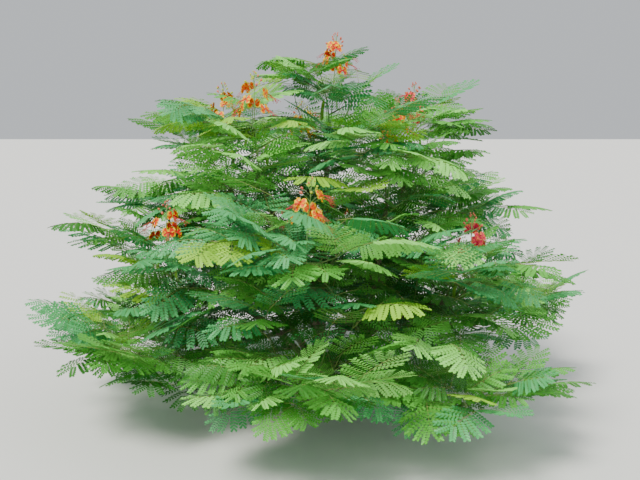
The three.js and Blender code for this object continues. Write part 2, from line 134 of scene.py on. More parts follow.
def heading(bearing, rise=0.0):
    """The unit vector with a bearing about Z, counted from +X, and a rise above the level, in degrees."""
    b = math.radians(bearing)
    r = math.radians(rise)
    return np.array([math.cos(b) * math.cos(r), math.sin(b) * math.cos(r), math.sin(r)])


def bearing_of(way):
    """The bearing about Z of a way, in degrees."""
    return math.degrees(math.atan2(way[1], way[0]))


def point_on(controls, share):
    """The point of a Bezier curve, which has two to four control points, at a share of its parameter."""
    points = [np.asarray(p, float) for p in controls]
    while len(points) > 1:
        points = [a + (b - a) * share for a, b in zip(points, points[1:])]
    return points[0]


def tier_tip(tier, number, roll):
    """Where the limb ends that bears one mass of a tier."""
    shape = TIERS[tier]
    turn = shape["bearing"] + 360 * (number - 1) / shape["count"] + spread(roll, TIER_SPREAD["bearing"])
    out = shape["reach"] + spread(roll, shape["reach"] * TIER_SPREAD["reach"])
    step = shape["stagger"] if number % 2 else -shape["stagger"]
    return heading(turn) * out + UP * (shape["height"] + step + spread(roll, TIER_SPREAD["height"]))


def limb_curve(kind, foot, tip, roll):
    """The control points of a limb, which sways to its sides, and half as much up and down."""
    shape = LIMBS[kind]
    span = tip - foot
    aside = unit(np.array([-span[1], span[0], 0.0]))
    knees = []
    for out, up in shape["knees"]:
        knee = foot + span * np.array([out, out, up])
        knee = knee + aside * spread(roll, shape["sway"])
        knees.append(knee + UP * spread(roll, shape["sway"] * 0.5))
    return [foot, *knees, tip]


limbs = {}
limb_roll = dice(LIMB_SEED)
for number in range(1, TIERS["mid"]["count"] + 1):
    tip = tier_tip("mid", number, limb_roll)
    foot = unit(tip * (1, 1, 0)) * FORK["radius"] + UP * FORK["heights"][number % 2]
    limbs[f"bough_{number}"] = ("bough", limb_curve("bough", foot, tip, limb_roll))
boughs = [curve for kind, curve in limbs.values()]
leader_tip = tier_tip("top", 1, limb_roll)
limbs["leader"] = ("leader", limb_curve("leader", np.array(FORK["leader"]), leader_tip, limb_roll))
for tier, parting in BRANCHING.items():
    kind = f"{tier}_bough"
    for number in range(1, TIERS[tier]["count"] + 1):
        tip = tier_tip(tier, number, limb_roll)
        facing_out = unit(tip * (1, 1, 0))
        parent = min(boughs, key=lambda curve: np.linalg.norm(unit(curve[3] * (1, 1, 0)) - facing_out))
        limbs[f"{kind}_{number}"] = (kind, limb_curve(kind, point_on(parent, parting), tip, limb_roll))


def swept_skin(controls, radius_at, sides, steps, relief):
    """The vertices and faces of a closed, uneven tube round a curve, with a flat foot and a pointed tip."""
    stations = [point_on(controls, k / steps) for k in range(steps + 1)]
    points = []
    side = None
    for k, centre in enumerate(stations):
        along = unit(stations[min(k + 1, steps)] - stations[max(k - 1, 0)])
        side = np.cross(along, FIRST_SIDE) if side is None else side - along * side.dot(along)
        side = unit(side)
        over = np.cross(along, side)
        for j in range(sides):
            angle = 2 * math.pi * j / sides
            out = side * math.cos(angle) + over * math.sin(angle)
            radius = radius_at(k / steps, angle)
            points.append(centre + out * radius * (1 + relief(centre + out * radius, k / steps)))
    faces = []
    for k in range(steps):
        for j in range(sides):
            a = k * sides + j
            b = k * sides + (j + 1) % sides
            faces.append((a, b, b + sides, a + sides))
    last = steps * sides
    points.append(stations[0])
    points.append(stations[-1] + along * radius_at(1, 0) * TIP_POINT)
    for j in range(sides):
        faces.append((len(points) - 2, (j + 1) % sides, j))
        faces.append((len(points) - 1, last + j, last + (j + 1) % sides))
    return points, faces


def bark_relief(lump, grain, scar_gap):
    """Lumps, fine grain, and the raised rings that fallen leaves have left along a limb."""

    def relief(spot, along):
        rough = noise.noise(Vector(spot * RELIEF["lumps"])) * lump
        rough += noise.noise(Vector(spot * RELIEF["grain"])) * grain
        wander = RELIEF["wander"] * noise.noise(Vector(spot * RELIEF["scars"]))
        ring = (along / scar_gap + wander) % 1 - 0.5
        return rough + RELIEF["ring"] * math.exp(-((ring * RELIEF["sharpness"]) ** 2))

    return relief


def plain_mesh(name, points=(), faces=(), edges=()):
    """An object with a mesh of its own."""
    mesh = bpy.data.meshes.new(name)
    mesh.from_pydata([tuple(p) for p in points], edges, faces)
    thing = bpy.data.objects.new(name, mesh)
    bpy.context.scene.collection.objects.link(thing)
    return thing


def merged(skins):
    """Several sets of vertices and faces as one."""
    points = []
    faces = []
    for skin_points, skin_faces in skins:
        faces.extend(tuple(corner + len(points) for corner in face) for face in skin_faces)
        points.extend(skin_points)
    return points, faces


def add_node(tree, kind, inputs=(), **settings):
    """Adds one node to a tree, with its settings, and with values or links at its inputs."""
    node = tree.nodes.new(kind)
    for key, value in settings.items():
        setattr(node, key, value)
    for key, value in dict(inputs).items():
        if isinstance(value, bpy.types.NodeSocket):
            tree.links.new(value, node.inputs[key])
        else:
            node.inputs[key].default_value = value
    return node


def plain_finish(name, colour, roughness, specular):
    """A material with its own shader, whose base colour is one plain colour."""
    material = bpy.data.materials.new(name)
    material.use_nodes = True
    shader = material.node_tree.nodes["Principled BSDF"]
    shader.inputs["Base Color"].default_value = (*colour, 1)
    shader.inputs["Roughness"].default_value = roughness
    shader.inputs["Specular IOR Level"].default_value = specular
    return material


def mixed_colour(tree, share, first, second):
    """A colour that goes from the first to the second as a share goes from 0 to 1."""
    inputs = {0: share, 6: first, 7: second}
    return add_node(tree, "ShaderNodeMix", inputs, data_type="RGBA").outputs[2]


def bark_finish(name, ground, stain, pale, stain_share):
    """Bark: a ground colour with broad stains and small pale pores, and fine cracks as relief."""
    material = plain_finish(name, ground, roughness=0.85, specular=0.25)
    tree = material.node_tree
    shader = tree.nodes["Principled BSDF"]
    place = add_node(tree, "ShaderNodeTexCoord").outputs["Object"]
    broad = add_node(tree, "ShaderNodeTexNoise", {"Vector": place, "Scale": 9.0, "Detail": 4.0})
    edge = {"Value": broad.outputs["Fac"], "From Min": 0.62 - stain_share, "From Max": 0.76 - stain_share}
    share = add_node(tree, "ShaderNodeMapRange", edge).outputs[0]
    stained = mixed_colour(tree, share, (*ground, 1), (*stain, 1))
    pores = add_node(tree, "ShaderNodeTexVoronoi", {"Vector": place, "Scale": 130.0})
    dots = {"Value": pores.outputs["Distance"], "From Min": 0.32, "From Max": 0.18, "To Max": 0.6}
    dot = add_node(tree, "ShaderNodeMapRange", dots).outputs[0]
    dotted = mixed_colour(tree, dot, stained, (*pale, 1))
    tree.links.new(dotted, shader.inputs["Base Color"])
    cracks = {"Vector": place, "Scale": 170.0, "Detail": 5.0, "Roughness": 0.7}
    cracks = add_node(tree, "ShaderNodeTexNoise", cracks)
    bump = {"Height": cracks.outputs["Fac"], "Strength": 0.6, "Distance": 0.002}
    tree.links.new(add_node(tree, "ShaderNodeBump", bump).outputs["Normal"], shader.inputs["Normal"])
    return material


def limb_radius(kind):
    """The radius along a limb, which tapers from a flared foot."""
    base = LIMBS[kind]["radius"]
    tip = LIMBS[kind]["tip"]

    def radius_at(along, angle):
        return base + (tip - base) * along + base * FLARE["share"] * (1 - along) ** FLARE["power"]

    return radius_at


def stem_radius(along, angle):
    """The stem's radius: flared and lobed at its foot, swollen under the fork and rounded at its top."""
    climb = max(0.0, (along - STEM_TOP["swells_from"]) / (1 - STEM_TOP["swells_from"]))
    swelling = STEM_TOP["swelling"] * math.sin(math.pi * climb)
    past = max(0.0, (along - STEM_TOP["rounds_from"]) / STEM_TOP["length"])
    rounding = math.sqrt(max(STEM_TOP["least"], 1 - past**2))
    lobes = math.cos(STEM["lobes"] * angle + STEM["lobe_turn"])
    lobed = 1 + STEM["lobe_depth"] * (1 - along) ** 3 * lobes
    flare = STEM["flare"] * (1 - along) ** STEM["flare_power"]
    return (STEM["radius"] + flare + swelling) * rounding * lobed


relief = bark_relief(lump=0.05, grain=0.025, scar_gap=0.3)
skins = [swept_skin(STEM_LINE, stem_radius, sides=72, steps=60, relief=relief)]
old_limbs = [name for name, (kind, curve) in limbs.items() if kind in ("bough", "leader")]
relief = bark_relief(lump=0.07, grain=0.035, scar_gap=0.062)
for name in old_limbs:
    kind, curve = limbs[name]
    skins.append(swept_skin(curve, limb_radius(kind), sides=16, steps=115, relief=relief))

old_wood = plain_mesh("stem_and_boughs", *merged(skins))
bark_colours = [(0.215, 0.185, 0.13), (0.15, 0.17, 0.075), (0.42, 0.38, 0.29)]
old_wood.data.materials.append(bark_finish("bark", *bark_colours, stain_share=0.12))
old_wood.data.shade_smooth()
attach(old_wood, "root")
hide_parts("stem", *old_limbs)

# Side boughs: the younger limbs, which branch from the main boughs and bear the lowest and the upper tier.
# Their bark is smooth and still grey-green, with small pale pores.
young_limbs = [name for name, (kind, curve) in limbs.items() if name not in old_limbs]
relief = bark_relief(lump=0.05, grain=0.02, scar_gap=0.085)
skins = []
for name in young_limbs:
    kind, curve = limbs[name]
    skins.append(swept_skin(curve, limb_radius(kind), sides=12, steps=75, relief=relief))

young_wood = plain_mesh("side_boughs", *merged(skins))
bark_colours = [(0.15, 0.185, 0.085), (0.19, 0.17, 0.1), (0.38, 0.4, 0.25)]
young_wood.data.materials.append(bark_finish("green_bark", *bark_colours, stain_share=0.06))
young_wood.data.shade_smooth()
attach(young_wood, "root")
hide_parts(*young_limbs)

# Twigs: on every bough's tip a mass of leaves has a stem with up to three twigs, and finer twigs branch from
# these. They are round and green, from 12 mm thick at the stem's foot down to 3 mm.
SPIKES = {"low": (), "mid": (1, 2, 3, 5), "upper": (1, 2, 3, 4, 5), "top": (1,)}
SHOOT = {"length": 0.37, "knee": 0.4, "radius": 0.0062, "spiked_radius": 0.0046, "aside": 0.11}
HEART = {"share": 0.7, "rise": 0.01}
TWIG = {
    "count": 3, "length": 0.215, "lengths": (0.85, 0.3), "radius": 0.0052, "tip": 0.0018,
    "first": 0.3, "apart": 0.17, "bearing": 60, "turn": 120, "wander": 50, "rise": (14, 20),
}
SPRAYS = {
    "per_shoot": 4, "first": 0.004, "spacing": 0.048, "per_mass": 11, "tries": 12, "turn": 137.5,
    "wander": 40, "size": 1.04, "size_spread": 0.14, "size_fall": 0.035, "rise": (4, 32), "tilt": 0.6,
}
SPRAY = {"length": 0.5, "half": 0.172, "lobes": 3, "start": 0.2, "end": 0.86, "forward": 0.054, "last": 0.74}
SPRAY_FULLNESS = {"start": 0.32, "rise": 0.5}
SPRAY_BEND = {"arch": 54, "power": 1.3, "droop": 0.36, "steps": 16}
SEAT = {"gap": 0.00035, "offset": 0.46}
FINE_TWIG = {"reach": 6, "base": 0.0026, "tip": 0.0013}
MATCH = {"twig": 0.009, "spray": 0.003}
CURVE_STEPS = 200
MASS_SEED = 100


def length_of(controls):
    """The length of a curve."""
    points = [point_on(controls, k / CURVE_STEPS) for k in range(CURVE_STEPS + 1)]
    return sum(np.linalg.norm(b - a) for a, b in zip(points, points[1:]))


def limb_of(tier, number):
    """The kind and the curve of the limb that bears one mass of a tier."""
    names = {"top": "leader", "mid": f"bough_{number}"}
    return limbs[names.get(tier, f"{tier}_bough_{number}")]


def plan_mass(tier, number, order):
    """Where a mass's stem starts, turns and ends, and where the mass has its heart."""
    kind, curve = limb_of(tier, number)
    along = unit(curve[3] - curve[2])
    aside = unit(np.cross(along, UP))
    spiked = number in SPIKES[tier]
    seat = curve[3] + along * SEAT["gap"]
    shift = aside * LIMBS[kind]["tip"] * SEAT["offset"]
    foot = seat + shift * spiked
    rise = unit(along + (UP - along) * TIERS[tier]["upright"])
    knee = foot + along * SHOOT["length"] * SHOOT["knee"]
    end = knee + rise * SHOOT["length"] * (1 - SHOOT["knee"]) + aside * SHOOT["aside"] * spiked
    return {
        "name": f"{tier}_{number}", "tier": tier, "number": number, "spiked": spiked,
        "seed": MASS_SEED + order, "along": along, "aside": aside, "spike_foot": seat - shift,
        "stem": [foot, knee, end], "heart": foot + (end - foot) * HEART["share"] + UP * HEART["rise"],
    }


def vertex_tree(node):
    """The corners of a node's solid, ready for a search by distance."""
    vertices = frame["nodes"][node].data.vertices
    tree = kdtree.KDTree(len(vertices))
    for index, vertex in enumerate(vertices):
        tree.insert(vertex.co, index)
    tree.balance()
    return tree


def plan_shoots(mass, roll, solid):
    """The mass's stem, and those of its twigs that its solid has."""
    outward = bearing_of(mass["heart"])
    radius = SHOOT["spiked_radius"] if mass["spiked"] else SHOOT["radius"]
    shoots = [{"curve": mass["stem"], "radius": radius, "bearing": outward}]
    for k in range(TWIG["count"]):
        start = point_on(mass["stem"], TWIG["first"] + TWIG["apart"] * k)
        bearing = outward + TWIG["bearing"] + TWIG["turn"] * k + spread(roll, TWIG["wander"])
        way = heading(bearing, drawn(roll, *TWIG["rise"]))
        end = start + way * TWIG["length"] * drawn(roll, *TWIG["lengths"])
        if solid.find(end)[2] < MATCH["twig"]:
            shoots.append({"curve": [start, end], "radius": TWIG["radius"], "bearing": bearing})
    return shoots


def spray_stations(foot, bearing, rise, tilt, size):
    """Points along the middle of a spray, each with its way ahead, its side and its face."""
    steps = SPRAY_BEND["steps"]
    level = heading(bearing + 90)
    spot = foot
    stations = []
    for k in range(steps + 1):
        angle = rise - SPRAY_BEND["arch"] * (k / steps) ** SPRAY_BEND["power"]
        ahead = heading(bearing, angle)
        over = heading(bearing, angle + 90)
        side = level * math.cos(tilt) + over * math.sin(tilt)
        face = over * math.cos(tilt) - level * math.sin(tilt)
        stations.append((spot, ahead, side, face))
        spot = spot + ahead * SPRAY["length"] * size / steps
    return stations


def spray_corners(stations, size):
    """The outer corners of the solid that stands for a spray."""
    step = SPRAY["length"] / SPRAY_BEND["steps"]
    gap = SPRAY["length"] * (SPRAY["end"] - SPRAY["start"]) / SPRAY["lobes"]
    corners = []
    for k in range(SPRAY["lobes"]):
        last = k == SPRAY["lobes"] - 1
        ripeness = SPRAY_FULLNESS["start"] + SPRAY_FULLNESS["rise"] * (k + 0.5) / SPRAY["lobes"]
        fullness = math.sin(math.pi * ripeness)
        out = SPRAY["half"] * fullness * (SPRAY["last"] if last else 1) * size
        along = SPRAY["length"] * SPRAY["start"] + gap * (k + 0.5) + SPRAY["forward"]
        along = SPRAY["length"] if last else along
        nearest = round(along / step)
        spot, ahead, side, face = stations[nearest]
        middle = spot + ahead * (along - nearest * step) * size
        sag = SPRAY_BEND["droop"] * out**2 / (SPRAY["length"] * size)
        corners += [middle + side * way * out - face * sag for way in (1, -1)]
    return corners


def plan_sprays(mass):
    """The mass's shoots, and the middle of every spray of leaves that its solid has."""
    roll = dice(mass["seed"])
    solid = vertex_tree(f"foliage_{mass['name']}")
    shoots = plan_shoots(mass, roll, solid)
    sprays = []
    for k in range(SPRAYS["per_shoot"] * len(shoots) * SPRAYS["tries"]):
        shoot = shoots[k % len(shoots)]
        rank = k // len(shoots)
        down = SPRAYS["spacing"] * (rank % SPRAYS["per_shoot"]) + SPRAYS["first"]
        foot = point_on(shoot["curve"], 1 - down / length_of(shoot["curve"]))
        bearing = shoot["bearing"] + SPRAYS["turn"] * rank + spread(roll, SPRAYS["wander"])
        size = SPRAYS["size"] - SPRAYS["size_spread"] * roll()
        size -= SPRAYS["size_fall"] * (rank // SPRAYS["per_shoot"])
        rise = drawn(roll, *SPRAYS["rise"])
        stations = spray_stations(foot, bearing, rise, spread(roll, SPRAYS["tilt"]), size)
        if all(solid.find(corner)[2] < MATCH["spray"] for corner in spray_corners(stations, size)):
            sprays.append({"stations": stations, "size": size})
        if len(sprays) == SPRAYS["per_mass"]:
            break
    return shoots, sprays


masses = []
for tier, shape in TIERS.items():
    for number in range(1, shape["count"] + 1):
        masses.append(plan_mass(tier, number, len(masses)))
for mass in masses:
    mass["shoots"], mass["sprays"] = plan_sprays(mass)
foliage_nodes = [f"foliage_{mass['name']}" for mass in masses]


def new_tree(name, sizes):
    """A geometry tree with a geometry input, the named size inputs, and a geometry output."""
    tree = bpy.data.node_groups.new(name, "GeometryNodeTree")
    tree.interface.new_socket("Geometry", in_out="INPUT", socket_type="NodeSocketGeometry")
    for label, kind in sizes.items():
        tree.interface.new_socket(label, in_out="INPUT", socket_type=f"NodeSocket{kind}")
    tree.interface.new_socket("Geometry", in_out="OUTPUT", socket_type="NodeSocketGeometry")
    given = tree.nodes.new("NodeGroupInput").outputs
    return tree, given, tree.nodes.new("NodeGroupOutput").inputs["Geometry"]


def grown(name, tree, carrier, **values):
    """The plain mesh that a tree makes from a carrier, as a new object. The carrier is used up."""
    modifier = carrier.modifiers.new("growth", "NODES")
    modifier.node_group = tree
    for item in tree.interface.items_tree:
        if item.in_out == "INPUT" and item.name in values:
            modifier[item.identifier] = values[item.name]
    evaluated = carrier.evaluated_get(bpy.context.evaluated_depsgraph_get())
    piece = bpy.data.objects.new(name, bpy.data.meshes.new_from_object(evaluated))
    bpy.data.objects.remove(carrier)
    bpy.context.scene.collection.objects.link(piece)
    return piece


def add_values(thing, name, kind, values):
    """Gives each point of a mesh a value, or the three numbers of a vector."""
    field = "vector" if kind == "FLOAT_VECTOR" else "value"
    thing.data.attributes.new(name, kind, "POINT").data.foreach_set(field, values)


def line_carrier(lines):
    """A mesh of open lines, each a list of points and of the half thickness at each point."""
    points = []
    edges = []
    thickness = []
    for line, halves in lines:
        edges.extend((len(points) + k, len(points) + k + 1) for k in range(len(line) - 1))
        points.extend(line)
        thickness.extend(halves)
    carrier = plain_mesh("lines", points, edges=edges)
    add_values(carrier, "thickness", "FLOAT", thickness)
    return carrier


def tapered_line(curve, base, tip, steps):
    """The points of a curve, and a half thickness at each that goes from the base's to the tip's."""
    points = [point_on(curve, k / steps) for k in range(steps + 1)]
    return points, [base + (tip - base) * k / steps for k in range(steps + 1)]


def end_tree(tree, geometry, given, result):
    """Makes the instances of a tree real, and gives them its material."""
    real = add_node(tree, "GeometryNodeRealizeInstances", {"Geometry": geometry}).outputs[0]
    finished = {"Geometry": real, "Material": given["Material"]}
    tree.links.new(add_node(tree, "GeometryNodeSetMaterial", finished).outputs[0], result)


rod_tree, given, result = new_tree("round rods", {"Sides": "Int", "Material": "Material"})
line = add_node(rod_tree, "GeometryNodeMeshToCurve", {"Mesh": given["Geometry"]}).outputs[0]
half = add_node(rod_tree, "GeometryNodeInputNamedAttribute", {"Name": "thickness"}, data_type="FLOAT")
ring = {"Resolution": given["Sides"], "Radius": 1.0}
ring = add_node(rod_tree, "GeometryNodeCurvePrimitiveCircle", ring).outputs[0]
skin = {"Curve": line, "Profile Curve": ring, "Scale": half.outputs[0], "Fill Caps": True}
skin = add_node(rod_tree, "GeometryNodeCurveToMesh", skin).outputs[0]
end_tree(rod_tree, skin, given, result)

lines = []
for mass in masses:
    for shoot in mass["shoots"]:
        lines.append(tapered_line(shoot["curve"], shoot["radius"], TWIG["tip"], steps=8))
    for spray in mass["sprays"]:
        points = [station[0] for station in spray["stations"][: FINE_TWIG["reach"] + 1]]
        step = (FINE_TWIG["tip"] - FINE_TWIG["base"]) / FINE_TWIG["reach"]
        lines.append((points, [FINE_TWIG["base"] + step * k for k in range(len(points))]))

twig_bark = plain_finish("twig_green", (0.125, 0.21, 0.06), roughness=0.6, specular=0.3)
twigs = grown("twigs", rod_tree, line_carrier(lines), Sides=6, Material=twig_bark)
twigs.data.shade_smooth()
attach(twigs, "root")
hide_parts(*foliage_nodes)

# Flower stalks: a slender pale green stalk stands above each of ten masses of leaves. Round its upper part
# it bears thin stalks, 6 to 8 cm long, for the open flowers, shorter ones for the buds, and some for pods.
SPIKE = {"length": 0.5, "radius": 0.0042, "tip": 0.0016}
SPIKE_LINE = {"knee": 0.3, "lean": 0.22, "climb": 0.8, "aside": 0.034}
HEAD = [
    ("flower", (0.74, 0.81, 0.88)),
    ("bud", (0.94, 0.98)),
    ("flower", (0.69, 0.725, 0.765, 0.79, 0.835, 0.86)),
    ("bud", (0.895, 0.905, 0.915, 0.925, 0.935, 0.95, 0.96, 0.97, 0.985, 0.995, 1.0)),
]
STALKS = {
    "flower": {"from": 0.74, "gap": 0.07, "rise": (24, 8), "long": (0.076, -0.006), "ends": (0.0009, 0.0012)},
    "bud": {"from": 0.94, "gap": 0.04, "rise": (52, 16), "long": (0.044, -0.012), "ends": (0.0008, 0.0009)},
}
STALK_BOW = 13
FLOWER = {"turn": 40, "nod": 0.6, "tilt": 30, "sizes": (1, 0.15), "shapes": 3}
BUD_SIZES = (0.92, -0.22)
POD_STALKS = {
    "shares": (0.58, 0.47, 0.65), "length": 0.05, "knee": 0.8, "drop": 0.012, "ends": (0.0012, 0.0014),
}
POD_PLACES = {"turn": 125, "wander": 60, "sizes": (1, 0.13), "shrink": 0.12, "lean": 0.1, "shapes": 2}
SPIKE_TONES = {
    "mid_1": "scarlet", "mid_2": "orange", "mid_3": "rose", "mid_5": "scarlet", "upper_1": "orange",
    "upper_2": "scarlet", "upper_3": "rose", "upper_4": "amber", "upper_5": "orange", "top_1": "scarlet",
}
SPIKE_SEEDS = {"sizes": 500, "sway": 900}


def facing(out, up=UP):
    """Three axes square to each other: straight out, across, and the one that comes nearest to up."""
    out = unit(out)
    across = unit(np.cross(up, out))
    return [out, across, np.cross(out, across)]


def spike_curve(mass):
    """The middle line of the flower stalk that stands above a mass."""
    foot = mass["spike_foot"]
    knee = foot + mass["along"] * SPIKE["length"] * SPIKE_LINE["knee"]
    way = mass["along"] * SPIKE_LINE["lean"] + UP * SPIKE_LINE["climb"]
    return [foot, knee, foot + way * SPIKE["length"] - mass["aside"] * SPIKE_LINE["aside"]]


def ranged(measure, rank):
    """A measure that changes by an even step with each rank up the spike."""
    first, step = measure
    return first + step * rank


def bowed_stalk(kind, foot, bearing, rank):
    """A flower's or a bud's thin stalk, which leaves its foot a little steeper than it ends."""
    stalk = STALKS[kind]
    rise = ranged(stalk["rise"], rank)
    length = ranged(stalk["long"], rank)
    end = foot + heading(bearing, rise) * length
    knee = foot + heading(bearing, rise + STALK_BOW) * length * 0.5
    return end, rise, tapered_line([foot, knee, end], *stalk["ends"], steps=3)


def pod_places(mass, curve, roll):
    """The sites of a spike's pods, with the line of each pod's stalk."""
    away = bearing_of(-mass["aside"]) + spread(roll, POD_PLACES["wander"])
    scale = drawn(roll, *POD_PLACES["sizes"])
    for k, share in enumerate(POD_STALKS["shares"]):
        out = heading(away + POD_PLACES["turn"] * k)
        foot = point_on(curve, share)
        end = foot + out * POD_STALKS["length"] - UP * POD_STALKS["drop"] * k
        knee = foot + out * POD_STALKS["length"] * POD_STALKS["knee"] + UP * POD_STALKS["drop"]
        down = unit(out * POD_PLACES["lean"] - UP)
        across = unit(out + UP * POD_PLACES["lean"])
        site = {"place": end, "axes": [down, across, np.cross(down, across)]}
        site["size"] = scale * (1 - POD_PLACES["shrink"] * k)
        site["shape"] = k % POD_PLACES["shapes"]
        yield site, tapered_line([foot, knee, end], *POD_STALKS["ends"], steps=4)


stalks = []
sites_of = {"flower": [], "bud": [], "pod": []}
head = [(kind, share) for kind, shares in HEAD for share in shares]
spiked_masses = [mass for mass in masses if mass["spiked"]]
for mass in spiked_masses:
    roll = dice(mass["seed"] + SPIKE_SEEDS["sizes"])
    sway = dice(mass["seed"] + SPIKE_SEEDS["sway"])
    curve = spike_curve(mass)
    stalks.append(tapered_line(curve, SPIKE["radius"], SPIKE["tip"], steps=14))
    bearing = 360 * roll()
    if mass["number"] % 2:
        for site, stalk in pod_places(mass, curve, roll):
            sites_of["pod"].append(site)
            stalks.append(stalk)
    for k, (kind, share) in enumerate(head):
        bearing += SPRAYS["turn"]
        rank = (share - STALKS[kind]["from"]) / STALKS[kind]["gap"]
        end, rise, stalk = bowed_stalk(kind, point_on(curve, share), bearing, rank)
        stalks.append(stalk)
        site = {"place": end, "tone": SPIKE_TONES[mass["name"]]}
        if kind == "flower":
            turned_to = bearing + spread(sway, FLOWER["turn"])
            site["axes"] = facing(heading(turned_to, rise * FLOWER["nod"] + spread(sway, FLOWER["tilt"])))
            site["size"] = drawn(roll, *FLOWER["sizes"])
            site["shape"] = k % FLOWER["shapes"]
        else:
            site["axes"] = facing(heading(bearing, rise), heading(bearing + 90))
            site["size"] = ranged(BUD_SIZES, rank)
            site["shape"] = 0
        sites_of[kind].append(site)
flower_nodes = [f"flowers_{mass['name']}" for mass in spiked_masses]

stalk_green = plain_finish("stalk_green", (0.24, 0.42, 0.13), roughness=0.5, specular=0.35)
flower_stalks = grown("flower_stalks", rod_tree, line_carrier(stalks), Sides=5, Material=stalk_green)
flower_stalks.data.shade_smooth()
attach(flower_stalks, "root")
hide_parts(*flower_nodes)

# Petals: four broad, crinkled petals to a flower, two on each side, which are red or orange with a ragged
# edge in yellow or coral. The small petal above the middle is a narrow tube that opens into a ragged mouth.
PETAL_RADIUS = 0.032
PETAL_ANGLES = (146, 198, 34, -18)
PETAL_ROWS = [(0.0, 0.05), (0.26, 0.08), (0.44, 0.22), (0.62, 0.38), (0.8, 0.47), (0.91, 0.46), (1.0, 0.38)]
PETAL_COLUMNS = (-1, -0.82, -0.6, -0.36, -0.12, 0.12, 0.36, 0.6, 0.82, 1)
PETAL_TEETH = {"rows": (4, 6), "out": 0.03, "sides": 0.025, "forward": 0.04}
PETAL_RIM = (0.05, 0.24)
PETAL_RUFFLE = {"height": 0.09, "waves": 4.6, "row_shift": 0.9, "middle": 0.35, "phases": 6}
PETAL_CUP = {"rise": 0.16, "fall": 0.24, "sides": 0.1}
PETAL_SPREAD = {"turn": 16, "sizes": (0.94, 0.12)}
SMALL_PETAL = {
    "foot": {"forward": 0, "up": 0, "wide": 0.045, "high": 0.045},
    "mouth": {"forward": 0.3, "up": 0.24, "wide": 0.07, "high": 0.06},
    "lip": {"forward": 0.34, "up": 0.3, "wide": 0.22, "high": 0.17, "teeth": 0.13, "bent_back": 0.05},
}
THROAT = (0.27, 0, 0.24)
MOUTH_SIDES = 12
PETAL_SEED = 61
PETAL_COLOURS = {
    "scarlet": ((0.84, 0.022, 0.007), (0.98, 0.58, 0.004)),
    "orange": ((0.9, 0.095, 0.005), (0.98, 0.62, 0.004)),
    "rose": ((0.72, 0.01, 0.085), (0.94, 0.22, 0.08)),
    "amber": ((0.93, 0.25, 0.005), (0.98, 0.72, 0.006)),
}


def used_only(points, faces):
    """The faces with only the points that they use."""
    order = sorted({corner for face in faces for corner in face})
    place = {corner: k for k, corner in enumerate(order)}
    return [points[corner] for corner in order], [tuple(place[corner] for corner in face) for face in faces]


def petal(angle, radius, phase):
    """One petal's inner and outer faces, with their points."""
    along = np.array([0.0, math.cos(math.radians(angle)), math.sin(math.radians(angle))])
    across = np.array([0.0, -along[2], along[1]])
    last = len(PETAL_ROWS) - 1
    points = []
    for row, (share, half) in enumerate(PETAL_ROWS):
        for column, v in enumerate(PETAL_COLUMNS):
            tooth = (-1) ** column
            ragged = PETAL_TEETH["out"] * tooth * (row in PETAL_TEETH["rows"])
            ragged += PETAL_TEETH["sides"] * (-1) ** row * (abs(v) == 1) * (row > 2)
            out = radius * share * (1 - PETAL_RIM[0] * v**2 - PETAL_RIM[1] * v**4 + ragged)
            wave = math.sin(PETAL_RUFFLE["waves"] * v + phase + PETAL_RUFFLE["row_shift"] * row)
            ruffle = PETAL_RUFFLE["height"] * share**2 * wave * (PETAL_RUFFLE["middle"] + abs(v))
            cup = PETAL_CUP["rise"] * share - PETAL_CUP["fall"] * share**2 + PETAL_CUP["sides"] * v**2 * share
            forward = radius * (cup + ruffle + PETAL_TEETH["forward"] * tooth * (row == last))
            sideways = across * v * half * radius * (1 + ragged)
            points.append(along * out + sideways + np.array([forward, 0, 0]))
    inner = []
    edge = []
    wide = len(PETAL_COLUMNS)
    for row in range(last):
        for column in range(wide - 1):
            a = row * wide + column
            outermost = row >= last - 2 or (column in (0, wide - 2) and row > 1)
            (edge if outermost else inner).append((a, a + wide, a + wide + 1, a + 1))
    return used_only(points, inner), used_only(points, edge)


def ring_band(lower, upper):
    """The points and faces of a band between two rings of as many points."""
    count = len(lower)
    return [*lower, *upper], [(k, (k + 1) % count, count + (k + 1) % count, count + k) for k in range(count)]


def small_petal(radius):
    """The tube and the ragged mouth of the small petal above the middle of a flower."""
    rings = {}
    for name, shape in SMALL_PETAL.items():
        rings[name] = []
        for k in range(MOUTH_SIDES):
            t = 2 * math.pi * k / MOUTH_SIDES
            tooth = (-1) ** k
            far = 1 + shape.get("teeth", 0) * tooth
            forward = shape["forward"] - shape.get("bent_back", 0) * tooth
            aside = shape["wide"] * far * math.cos(t)
            up = shape["up"] + shape["high"] * far * math.sin(t)
            rings[name].append(np.array([forward, aside, up]) * radius)
    closing = [(MOUTH_SIDES, k, (k + 1) % MOUTH_SIDES) for k in range(MOUTH_SIDES)]
    throat = [*rings["mouth"], np.array(THROAT) * radius], closing
    return ring_band(rings["foot"], rings["mouth"]), merged([ring_band(rings["lip"], rings["mouth"]), throat])


set_tree, given, result = new_tree("set out", {"Shapes": "Collection", "Material": "Material"})
shapes = {"Collection": given["Shapes"], "Separate Children": True, "Reset Children": False}
shapes = add_node(set_tree, "GeometryNodeCollectionInfo", shapes).outputs[0]
named = {}
for label, kind in {"turn": "FLOAT_VECTOR", "size": "FLOAT", "shape": "INT"}.items():
    attribute = add_node(set_tree, "GeometryNodeInputNamedAttribute", {"Name": label}, data_type=kind)
    named[label] = attribute.outputs[0]
inputs = {
    "Points": given["Geometry"], "Instance": shapes, "Pick Instance": True, "Instance Index": named["shape"],
    "Rotation": named["turn"], "Scale": named["size"],
}
things = add_node(set_tree, "GeometryNodeInstanceOnPoints", inputs).outputs[0]
end_tree(set_tree, things, given, result)


